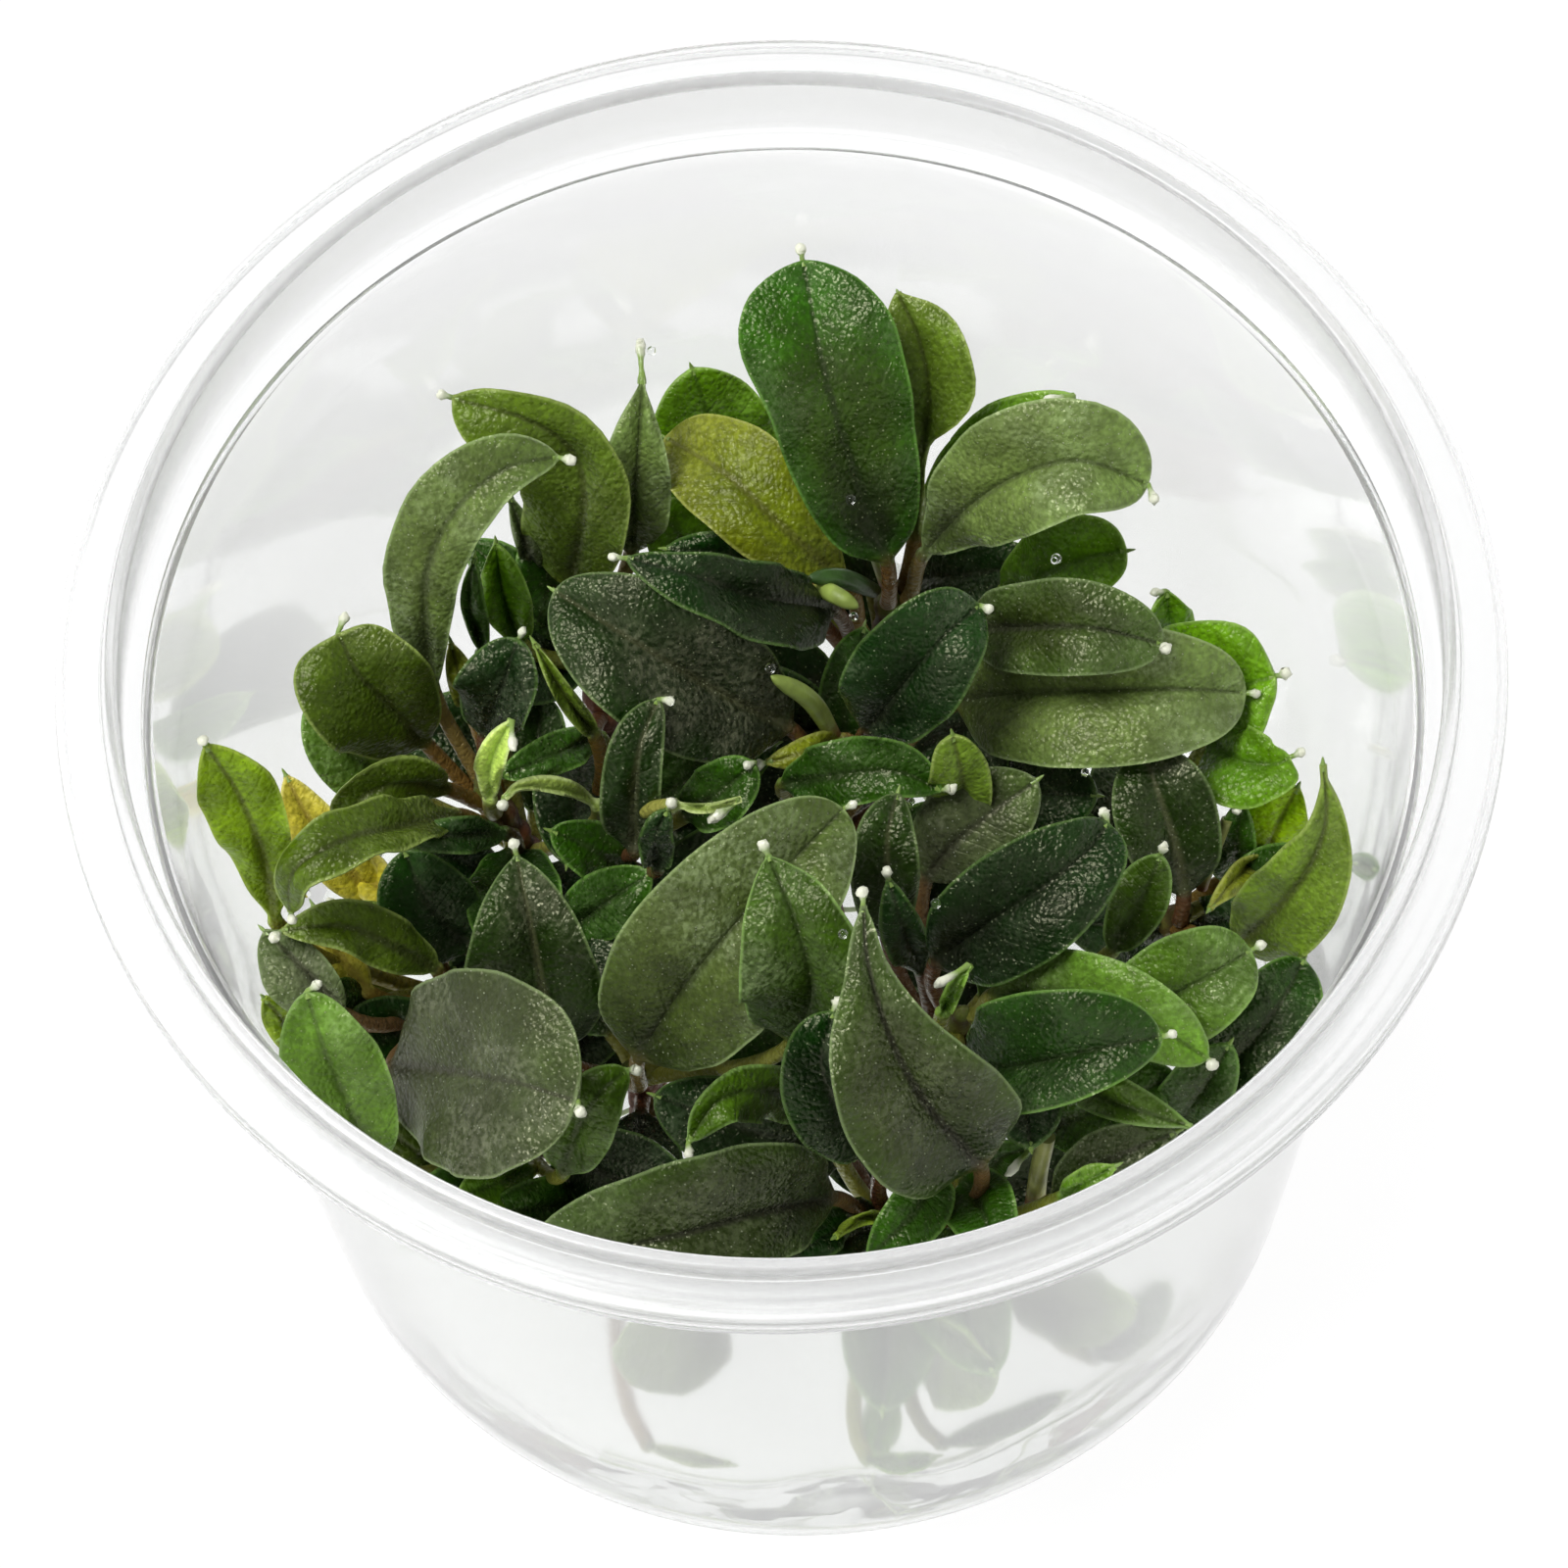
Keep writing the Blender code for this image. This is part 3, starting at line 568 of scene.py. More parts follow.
def turned(profile, sides):
    # a closed solid turned from (radius, height) points that start and end on the axis
    inner = np.array(profile[1:-1])
    rings = np.stack([
        np.outer(inner[:, 0], np.cos(turns(sides))),
        np.outer(inner[:, 0], np.sin(turns(sides))),
        np.repeat(inner[:, 1:2], sides, axis=1)], axis=-1).reshape(-1, 3)
    verts = np.concatenate([[(0, 0, profile[0][1])], rings, [(0, 0, profile[-1][1])]])
    last = len(verts) - 1
    faces = []
    for side in range(sides):
        after = (side + 1) % sides
        faces.append((0, 1 + after, 1 + side))
        for low in range(1, last - sides, sides):
            faces.append((low + side, low + after, low + sides + after, low + sides + side))
        faces.append((last - sides + side, last - sides + after, last))
    return verts, faces


def makeCup():
    top, foot, edge = cup["flangeTop"], cup["skirtFoot"], cup["flangeRadius"]
    thick, wall, fillet, inner = cup["skirtThick"], cup["wallThick"], cup["baseFillet"], cup["innerFillet"]
    mouth, high = cup["mouthRadius"], cup["mouthHeight"]
    (beadIn, beadOut), bead = cup["bead"], cup["beadRound"]
    lift, rise, stand = cup["ridgeLift"], cup["standRise"], cup["standRadius"]
    shoulder = high - wall
    under = top - thick
    profile = [(0, rise), (stand, rise), (stand + 0.8, 0.0)]
    profile += arc(wallRadius(fillet) - fillet, fillet, fillet, -90, 0, 9)
    profile += wallLine((8, 14, 20, 30, 40, 50, 60, shoulder - 0.8))
    profile += [(wallRadius(shoulder) + 0.25, shoulder - 0.15), (wallRadius(shoulder) + 0.8, shoulder)]
    profile += [(beadOut - 0.45, shoulder), (beadOut, shoulder + 0.4), (beadOut + 0.15, under)]
    profile += [(edge - thick - 0.3, under), (edge - thick, under - 0.3), (edge - thick, foot)]
    profile += [(edge - 0.1, foot), (edge, foot + 0.1), (edge, foot + 0.75), (edge - 0.12, foot + 0.95)]
    profile += arc(edge - 0.52, top - 0.4, 0.4, 0, 90, 5)
    for ridge in cup["ridges"]:
        profile += [(ridge + 0.3, top), (ridge + 0.15, top + lift)]
        profile += [(ridge - 0.15, top + lift), (ridge - 0.3, top)]
    profile += [(beadOut + 0.2, top), (beadOut, top + 0.15)]
    profile += arc(beadOut - bead, cup["height"] - bead, bead, 0, 90, 5)
    profile += arc(beadIn + bead, cup["height"] - bead, bead, 90, 180, 5)
    profile += [(beadIn + 0.3, high + 0.5), (beadIn, high + 0.1), (mouth + 0.3, high), (mouth, high - 0.3)]
    profile += wallLine((60, 50, 40, 30, 20, 14, 8), wall)
    profile += arc(wallRadius(fillet) - wall - inner, cup["floorThick"] + inner, inner, 0, -90, 7)
    profile += [(0, cup["floorThick"])]
    material = clearMaterial("clearPlastic", cup["colour"], cup["roughness"], cup["bending"], cup["through"],
                             cup["shadowTint"], frost=cup["frost"])
    piece = makePiece("clearCup", *turned(profile, cup["sides"]), material, "clear_plastic", sharpAngle=30)
    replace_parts(piece, "cup")


makeCup()
print("cup made")


# Growing gel, set in the foot of the cup with a wavy skin that climbs the wall

gel = {
    "top": 13.0,
    "climb": 1.3,  # how far the skin climbs at the wall
    "wave": 0.7,
    "away": 0.9,  # how far the gel has come away from the wall in places
    "clear": 0.06,  # film between the gel and the plastic
    "sides": 120,
    "colour": (0.965, 0.985, 0.96),
    "shadowTint": (0.97, 0.98, 0.96),
    "roughness": 0.02,
    "bending": 1.34,
    "ripple": 0.25,
}


def makeGel():
    floorTop = cup["floorThick"] + gel["clear"]
    thick = cup["wallThick"] + gel["clear"]
    inner = cup["innerFillet"]
    profile = [(0, floorTop)]
    profile += arc(wallRadius(cup["baseFillet"]) - thick - inner, floorTop + inner, inner, -90, 0, 6)
    profile += wallLine((7, 10, gel["top"] + gel["climb"]), thick)
    edge = wallRadius(gel["top"]) - thick
    for inward in (0.5, 1.1, 2.0, 3.4, 6, 10, 15, 21, 28, 34):
        profile.append((edge - inward, gel["top"] + gel["climb"] * np.exp(-inward / 0.9)))
    profile.append((0, gel["top"]))
    verts, faces = turned(profile, gel["sides"])
    angle = np.arctan2(verts[:, 1], verts[:, 0])
    radius = np.hypot(verts[:, 0], verts[:, 1])
    skin = verts[:, 2] > gel["top"] - 0.5
    ripple = np.sin(5 * angle + 1.3) + 0.7 * np.sin(11 * angle + 0.4) + 0.5 * np.sin(17 * angle + radius / 5)
    verts[skin, 2] += gel["wave"] * ripple[skin] * (radius[skin] / edge) ** 4
    loose = np.clip(np.sin(7 * angle + 0.6) + 0.6 * np.sin(13 * angle + 2.0), 0, 1)
    loose *= eased((verts[:, 2] - 7) / 3) * eased((radius - edge + 3) / 2.5)
    verts[:, :2] *= (1 - gel["away"] * loose / edge)[:, None]
    material = clearMaterial("clearGel", gel["colour"], gel["roughness"], gel["bending"], 1.0,
                             gel["shadowTint"], bump=gel["ripple"])
    piece = makePiece("growingGel", verts, faces, material, "growing_gel", sharpAngle=40)
    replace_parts(piece, "gel")


makeGel()
print("gel made")


# Rhizomes

# crown: where the top of each rhizome is seen, and its height
# foot: how far its foot is from the point straight under its top
stems = {
    "back": {"crown": (908, 596, 34), "foot": (-1, -3)},
    "centre": {"crown": (858, 752, 34), "foot": (-2, -5)},
    "back_left": {"crown": (590, 640, 31), "foot": (2, -6)},
    "left": {"crown": (487, 790, 33), "foot": (4, -3)},
    "mid_left": {"crown": (600, 832, 29), "foot": (2, -4)},
    "far_left": {"crown": (430, 1010, 27), "foot": (5, 2)},
    "centre_left": {"crown": (640, 1100, 31), "foot": (1, 5)},
    "front_left": {"crown": (528, 1178, 26), "foot": (3, 6)},
    "front": {"crown": (930, 1228, 29), "foot": (-1, 2)},
    "front_right": {"crown": (985, 1030, 35), "foot": (-2, 2)},
    "right": {"crown": (1215, 925, 29), "foot": (-5, 1)},
}

rhizome = {
    "radius": 1.35,
    "taper": 0.25,
    "joint": 2.6,  # length between two leaf scars
    "swell": 0.16,
    "unevenness": 0.06,
    "inGel": 1.2,  # how far the foot is in the gel
    "sides": 20,
    "stations": 46,
    "topShares": (0.85, 0.6, 0.25),
    "look": {
        "colours": ((104, 58, 34), (92, 104, 40)), "turn": (0.75, 1.05), "noise": (500.0, 4.0), "wander": 0.5,
        "light": (0.6, 1.3), "scar": (58, 34, 22), "grain": 0.3, "bump": (0.5, 0.0002), "rough": (0.42, 0.6)},
}


def stemLine(name, count):
    top = placeOf(stems[name]["crown"])
    aside, forward = stems[name]["foot"]
    foot = np.array([top[0] + aside, top[1] + forward, gel["top"] + 0.3])
    rise = np.array([0, 0, (top[2] - foot[2]) * 0.45])
    return bezier(foot, foot + rise, foot + rise, top, shares(count))


def makeRhizomes():
    material = stalkMaterial("rhizomeSkin", rhizome["look"])
    share = shares(rhizome["stations"])
    for name in stems:
        line = stemLine(name, rhizome["stations"])
        line[0, 2] -= rhizome["inGel"]
        beat = np.cos(2 * np.pi * share * lengthOf(line) / rhizome["joint"])
        radii = rhizome["radius"] * (1 - rhizome["taper"] * share) * (1 + rhizome["swell"] * beat)
        radii[-3:] *= rhizome["topShares"]
        rings = tubeRings(line, radii, rhizome["sides"], rhizome["unevenness"], seeded("rhizome" + name))
        shapes = Gathered()
        shapes.add(rings, along=share, scar=(1 - beat) / 2)
        piece = shapes.piece("stem_" + name, material, "rhizome")
        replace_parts(piece, "rhizome_" + name)


makeRhizomes()
print("rhizomes made")


# Leaf colours, as screen values: petiole, base, main, tip, midrib, rim, speck (pale dots, partly painted
# glints) and painted sheen, then how strong the specks are, the roughness and how strong the painted sheen is
skins = {
    "deep": ((96, 62, 40), (20, 32, 13), (27, 48, 13), (32, 60, 11), (20, 26, 14), (84, 114, 54),
        (176, 188, 146), (86, 96, 74), 0.6, 0.24, 0.32),
    "dusk": ((104, 70, 44), (34, 44, 24), (42, 56, 27), (44, 64, 22), (84, 86, 58), (106, 128, 76),
        (186, 194, 158), (104, 104, 84), 0.65, 0.24, 0.42),
    "lush": ((104, 76, 40), (34, 40, 24), (54, 76, 28), (52, 96, 14), (28, 40, 18), (96, 140, 58),
        (190, 204, 150), (78, 84, 66), 0.65, 0.24, 0.29),
    "grey": ((110, 84, 52), (56, 61, 41), (68, 76, 51), (65, 80, 43), (48, 46, 38), (122, 140, 92),
        (192, 200, 172), (112, 114, 96), 0.6, 0.26, 0.42),
    "sage": ((118, 100, 52), (58, 70, 36), (100, 118, 62), (106, 128, 68), (56, 64, 38), (150, 172, 112),
        (196, 206, 168), (134, 146, 112), 0.6, 0.24, 0.37),
    "green": ((118, 118, 48), (34, 52, 15), (47, 74, 17), (52, 88, 16), (32, 44, 18), (108, 148, 66),
        (186, 200, 146), (88, 108, 66), 0.5, 0.24, 0.29),
    "fresh": ((126, 128, 52), (58, 82, 26), (82, 112, 42), (84, 118, 40), (50, 66, 28), (132, 166, 88),
        (196, 208, 156), (128, 146, 100), 0.5, 0.26, 0.37),
    "bright": ((140, 146, 56), (66, 100, 22), (86, 130, 24), (98, 142, 32), (60, 90, 24), (146, 184, 84),
        (198, 214, 140), (124, 150, 76), 0.45, 0.26, 0.29),
    "olive": ((120, 92, 44), (76, 92, 42), (92, 115, 42), (98, 124, 40), (56, 60, 28), (146, 166, 84),
        (188, 198, 136), (110, 116, 70), 0.45, 0.28, 0.32),
    "golden": ((140, 110, 50), (60, 72, 44), (112, 126, 34), (128, 136, 42), (92, 92, 40),
        (164, 170, 84), (190, 190, 116), (134, 140, 60), 0.4, 0.3, 0.37),
    "speckled": ((120, 110, 40), (92, 114, 16), (108, 136, 18), (112, 142, 20), (50, 46, 16),
        (154, 178, 64), (70, 88, 18), (130, 140, 60), 0.6, 0.3, 0.29),
    "yellow": ((150, 120, 50), (132, 132, 40), (180, 172, 54), (196, 182, 60), (140, 120, 50),
        (208, 200, 104), (150, 112, 50), (196, 186, 90), 0.35, 0.44, 0.29),
    "pale": ((150, 150, 70), (112, 134, 50), (142, 166, 70), (164, 186, 90), (120, 140, 70),
        (194, 210, 140), (200, 210, 150), (180, 196, 120), 0.2, 0.28, 0.29),
    "moss": ((110, 84, 52), (38, 46, 26), (54, 66, 34), (70, 92, 44), (40, 38, 32), (118, 138, 88),
        (186, 196, 160), (92, 98, 74), 0.6, 0.24, 0.32),
}
leafGloss = {
    "sheen": 0.012,  # light that the leaves' gloss adds to their colours
    "darkest": 0.2,  # share of a colour that is kept where the sheen is stronger
    "level": 0.42,
    "tint": (1.0, 1.0, 0.7, 1.0),
    "bump": (1.0, 0.0002),
    "midribWidth": 0.75,
    "midribPart": 0.6,
    "rimPart": 0.7,
    "mottling": 0.6,
}
leafMaterials = {}


def underSheen(colour, shade):
    lit = np.array(seen(colour, shade))[:3]
    return (*np.maximum(lit - leafGloss["sheen"], lit * leafGloss["darkest"]), 1.0)


def leafMaterial(name, shade, midribPart):
    key = (name, shade, midribPart)
    if key in leafMaterials:
        return leafMaterials[key]
    # the last colour and its strength give painted sheen, pale patches that stand in for the leaves' gloss
    *colours, paleDotsAndGlints, roughness, paintedSheenPart = skins[name]
    petiole, base, main, tip, midrib, rim, dotAndGlintColour, paintedSheen = colours
    shown = [seen(petiole), *[underSheen(colour, shade) for colour in (base, main, tip)],
             seen(midrib, shade), seen(rim), seen(dotAndGlintColour), seen(paintedSheen)]
    amounts = (paintedSheenPart, leafGloss["midribWidth"], leafGloss["midribPart"] * midribPart,
               leafGloss["rimPart"], paleDotsAndGlints, leafGloss["mottling"], roughness)
    material, tree, shader = newMaterial("leaf_" + name + str(len(leafMaterials)), {
        "Specular IOR Level": leafGloss["level"], "Specular Tint": leafGloss["tint"]})
    skin = place(tree, leafSkinGroup, dict(zip(skinColours + skinAmounts, [*shown, *amounts])))
    feed(tree, shader.inputs, {
        "Base Color": skin["Colour"],
        "Roughness": skin["Roughness"],
        "Normal": raised(tree, skin["Height"], *leafGloss["bump"])})
    leafMaterials[key] = material
    return material


# Leaves

# half: widths of the blade left and right of the midrib; roll and cup are in degrees
# widest: how far along the blade is widest; skin: its colours, where they aren't its tone's
# ends: shape of the base and of the tip, 0.4 for square, 1 for pointed and 2 for drawn out
# left, right: widths at even steps along the blade, where the two sides differ
# rib: how dark the midrib is; wave: how far the margins wander up and down
# seat: height at which the petiole starts, where it isn't left to the order of the leaves
plainLeaf = {"shade": 1.0, "rib": 1.0, "roll": 0, "cup": 12, "widest": 0.5, "ends": (0.5, 0.5), "wave": 0.42,
             "seat": None}


def leafOf(stem, tone, *path, **more):
    # path: readings along the midrib from the blade's base to its tip, or places where there is a seat
    return {**plainLeaf, "stem": stem, "tone": tone, "skin": tone, "path": path, **more}


leaves = {
    "tall_back": leafOf("back", "deep", (905, 572, 41), (872, 480, 48), (841, 380, 55), (819, 266, 59),
        skin="lush", left=(2.4, 4.2, 5.0, 5.2, 6.2, 3.6), right=(2.4, 4.4, 5.6, 6.4, 6.0, 2.6)),
    "folded_back": leafOf("back", "olive", (934, 546, 38), (941, 470, 44), (948, 400, 49),
        (938, 345, 52), (916, 298, 54), roll=-12, cup=18, left=(1.4, 2.4, 3.0, 3.4, 3.2, 1.2),
        right=(0.8, 0.5, 0.6, 4.0, 3.8, 0.6)),
    "golden_back": leafOf("back", "golden", (862, 592, 38), (805, 545, 42), (742, 485, 44),
        (680, 447, 42), half=(4.3, 4.6), shade=0.85, roll=6, cup=10, widest=0.6, ends=(0.7, 0.5)),
    "bright_back": leafOf("back", "bright", (782, 540, 30), (736, 455, 38), (706, 376, 45),
        half=(5.8, 4.8), widest=0.6),
    "broad_back": leafOf("back", "grey", (942, 566, 40), (990, 516, 47), (1045, 482, 52),
        (1104, 470, 54), (1171, 494, 52), half=(5.4, 5.1), skin="sage", shade=1.1, roll=-4, cup=20,
        widest=0.62, ends=(0.95, 0.42)),
    "bright_side": leafOf("back", "bright", (945, 535, 33), (990, 470, 40), (1050, 405, 46),
        half=(2.4, 2.8), cup=16, ends=(0.65, 0.65)),
    "rolled_edge": leafOf("back", "deep", (850, 622, 38), (785, 612, 46), (712, 590, 51), (640, 570, 52),
        half=(4.2, 2.8), shade=0.75, roll=14, cup=16, widest=0.4, ends=(0.6, 0.6)),
    "round_side": leafOf("back", "green", (1024, 602, 34), (1062, 588, 38), (1105, 570, 41),
        (1150, 562, 42), half=(3.9, 3.6), skin="bright", widest=0.6, ends=(0.6, 0.36)),
    "pointed_back": leafOf("back_left", "grey", (645, 560, 35), (647, 505, 42), (652, 445, 47),
        (655, 385, 50), half=(4.1, 3.2), skin="sage", shade=1.2, roll=8, cup=26, widest=0.44,
        ends=(0.5, 1.15)),
    "olive_arch": leafOf("back_left", "olive", (582, 596, 34), (596, 525, 43), (588, 468, 48),
        (545, 430, 52), (462, 406, 53), roll=-10, cup=10, left=(3.0, 4.8, 5.0, 4.8, 4.4, 2.6),
        right=(2.4, 3.5, 4.0, 3.4, 2.1, 0.9)),
    "tall_left": leafOf("left", "grey", (442, 704, 38), (434, 630, 45), (440, 568, 50), (472, 512, 54),
        (521, 476, 56), (569, 467, 55), half=(3.8, 3.0), skin="sage", shade=0.78, roll=-8, cup=14,
        widest=0.62, ends=(0.7, 0.6)),
    "square_left": leafOf("left", "deep", (434, 758, 35), (398, 720, 41), (366, 688, 45), (345, 646, 47),
        half=(5.6, 4.8), skin="olive", shade=0.56, cup=14, widest=0.68, ends=(0.6, 0.28)),
    "yellow_edge": leafOf("left", "green", (428, 815, 28), (388, 788, 34), (345, 760, 37),
        (312, 722, 39), half=(3.4, 2.8), skin="fresh", cup=10, ends=(0.6, 0.6)),
    "draped_left": leafOf("left", "grey", (465, 832, 38), (410, 842, 46), (350, 860, 50), (303, 888, 50),
        (297, 930, 46), half=(2.5, 2.7), skin="olive", shade=0.68, roll=30, cup=10, widest=0.62,
        ends=(0.55, 0.55)),
    "folded_left": leafOf("left", "deep", (495, 748, 36), (510, 705, 41), (530, 652, 44),
        half=(3.5, 3.3), shade=0.8, roll=-10, cup=16, ends=(0.5, 0.45)),
    "far_left": leafOf("far_left", "speckled", (281, 940, 41), (270, 880, 47), (246, 815, 54),
        (210, 760, 60), half=(3.1, 3.0), shade=1.3, cup=10, widest=0.72, ends=(0.75, 0.75)),
    "dying": leafOf("far_left", "yellow", (390, 925, 29), (350, 880, 33), (315, 835, 36), (292, 792, 38),
        half=(2.4, 2.3), ends=(0.6, 0.6)),
    "wavy_left": leafOf("far_left", "deep", (445, 988, 34), (400, 965, 39), (350, 945, 42),
        (288, 950, 42), half=(2.2, 2.4), skin="olive", shade=0.75, roll=10, cup=10, ends=(0.6, 0.6)),
    "broad_front_left": leafOf("far_left", "grey", (402, 1088, 37), (456, 1092, 43), (526, 1104, 48),
        (590, 1124, 50), half=(8.1, 7.8), shade=0.92, cup=8, widest=0.6, ends=(0.5, 0.4)),
    "front_left": leafOf("front_left", "green", (386, 1190, 36), (359, 1135, 41), (331, 1070, 46),
        (313, 1012, 49), half=(4.0, 4.1), skin="fresh", shade=1.4, cup=14, widest=0.58, ends=(0.55, 0.55)),
    "low_front_left": leafOf("front_left", "green", (575, 1196, 34), (588, 1155, 38), (612, 1115, 41),
        (640, 1092, 41), half=(2.7, 2.9), skin="fresh", shade=0.8, cup=14, widest=0.45, ends=(0.55, 0.55)),
    "left_centre": leafOf("centre_left", "grey", (568, 1072, 36), (554, 1010, 41), (541, 940, 46),
        (527, 873, 48), half=(6.4, 4.9), skin="dusk", cup=20, widest=0.38, ends=(0.5, 0.75)),
    "great_centre": leafOf("centre_left", "deep", (652, 1078, 37), (692, 1015, 43), (742, 952, 48),
        (802, 885, 51), (860, 826, 51), half=(6.9, 7.1), skin="sage", shade=0.68, cup=19, widest=0.42,
        ends=(0.45, 0.5)),
    "bright_centre": leafOf("centre_left", "bright", (812, 1062, 43.5), (828, 1010, 49.5),
        (812, 942, 55), (784, 874, 56), half=(5.6, 4.7), skin="fresh", shade=0.5, cup=18, widest=0.44,
        ends=(0.32, 0.75)),
    "arch_front": leafOf("front", "green", (822, 1132, 37), (785, 1112, 43), (735, 1122, 47),
        (703, 1164, 45), half=(2.6, 2.1), skin="fresh", shade=0.7, cup=14, widest=0.45, ends=(0.6, 0.6)),
    "spoon": leafOf("mid_left", "deep", (648, 868, 37), (647, 820, 42), (654, 762, 46), (671, 714, 47),
        half=(2.8, 2.2), skin="dusk", shade=0.75, roll=-6, cup=16),
    "great_dark": leafOf("centre", "deep", (805, 742, 37), (730, 704, 43), (650, 656, 48),
        (566, 603, 49), half=(6.5, 5.8), skin="dusk", shade=0.75, cup=18, widest=0.52),
    "dark_centre": leafOf("centre", "deep", (885, 745, 41), (922, 698, 47), (962, 650, 51),
        (999, 618, 51), half=(5.0, 4.5), roll=4, cup=18, widest=0.52),
    "right_upper": leafOf("centre", "green", (988, 642, 42), (1040, 640, 46), (1110, 640, 49),
        (1186, 657, 48), half=(3.9, 4.1), skin="moss", shade=1.1, cup=18, widest=0.58, ends=(0.45, 0.45)),
    "right_great": leafOf("centre", "green", (978, 716, 35), (1040, 708, 40), (1120, 704, 43),
        (1200, 703, 43), (1270, 707, 41), half=(5.4, 6.4), skin="sage", cup=19, widest=0.55,
        ends=(0.45, 0.45)),
    "green_arch": leafOf("centre", "deep", (800, 800, 36), (850, 792, 40), (910, 786, 42),
        (960, 806, 41), half=(2.9, 2.6), skin="green", ends=(0.55, 0.55), wave=0.8),
    "right_curled": leafOf("right", "bright", (1202, 742, 33), (1238, 718, 37), (1274, 698, 40),
        (1302, 690, 41), half=(7.4, 4.8), shade=1.25, cup=14, widest=0.55),
    "right_small": leafOf("right", "green", (1236, 758, 36), (1265, 776, 38), (1300, 780, 39),
        (1316, 773, 39), half=(2.9, 4.1), skin="bright", cup=16, ends=(0.55, 0.55)),
    "right_bright": leafOf("right", "bright", (1264, 964, 34), (1301, 929, 40), (1334, 888, 45),
        (1353, 838, 49), (1350, 780, 53), half=(3.3, 4.3), skin="olive", shade=1.25, cup=14, widest=0.38,
        ends=(0.5, 1.4)),
    "right_dark": leafOf("right", "deep", (1208, 910, 32), (1200, 865, 36), (1183, 812, 39),
        (1165, 765, 40), half=(4.2, 4.1), skin="dusk", cup=14, widest=0.6),
    "dark_right": leafOf("front_right", "deep", (955, 982, 40), (1008, 942, 45), (1066, 903, 48),
        (1110, 868, 49), (1130, 840, 49), half=(4.7, 5.2), shade=0.8, cup=19),
    "small_right": leafOf("front_right", "green", (1135, 970, 36), (1162, 925, 39), (1184, 872, 42),
        half=(2.4, 2.1), skin="fresh", shade=0.7, widest=0.55),
    "upright_centre": leafOf("front_right", "deep", (905, 955, 35), (905, 900, 41), (906, 850, 44),
        (916, 810, 45), half=(2.9, 2.6), skin="dusk", widest=0.55),
    "front_right": leafOf("front_right", "green", (990, 1094, 41), (1050, 1086, 47), (1120, 1070, 50),
        (1185, 1058, 50), half=(5.8, 3.8), shade=0.65, cup=20),
    "green_right": leafOf("front_right", "green", (1015, 1015, 39), (1080, 1010, 43), (1160, 1036, 45),
        (1232, 1080, 43), half=(3.6, 3.6), skin="fresh", shade=1.5, cup=18),
    "outer_right": leafOf("front_right", "green", (1142, 1045, 38), (1190, 1020, 42), (1238, 992, 44),
        (1276, 970, 44), half=(4.5, 4.4), skin="fresh", cup=18, widest=0.55, ends=(0.45, 0.45)),
    "edge_right": leafOf("front_right", "deep", (1220, 1130, 32), (1268, 1075, 36), (1308, 1020, 38),
        (1330, 980, 38), half=(3.8, 3.9), skin="green", shade=0.6),
    "front_centre": leafOf("front", "grey", (1000, 1188, 43), (946, 1128, 50), (908, 1058, 55),
        (886, 985, 58), (881, 924, 60), skin="moss", shade=0.92, rib=1.3, cup=20,
        left=(4.1, 6.2, 6.8, 5.4, 2.1, 0.5), right=(4.5, 6.0, 5.8, 3.7, 1.7, 0.5)),
    "front_great": leafOf("front", "deep", (848, 1222, 36), (785, 1234, 42), (700, 1258, 45),
        (610, 1275, 45), (545, 1285, 43), half=(4.6, 6.2), skin="moss", shade=0.8, rib=1.2, roll=-8, cup=18),
    "dark_front": leafOf("front", "deep", (892, 1174, 39), (854, 1130, 45), (838, 1080, 49),
        (850, 1032, 51), half=(3.8, 3.4), shade=0.8),
    "low_front": leafOf("front", "green", (948, 1195, 36), (938, 1232, 39), (885, 1285, 40),
        half=(2.5, 2.3), ends=(0.6, 0.6)),
    "low_right": leafOf("front", "olive", (1075, 1225, 34), (1130, 1185, 38), (1200, 1155, 40),
        half=(2.6, 2.2), skin="moss", shade=0.9, ends=(0.6, 0.6)),
}

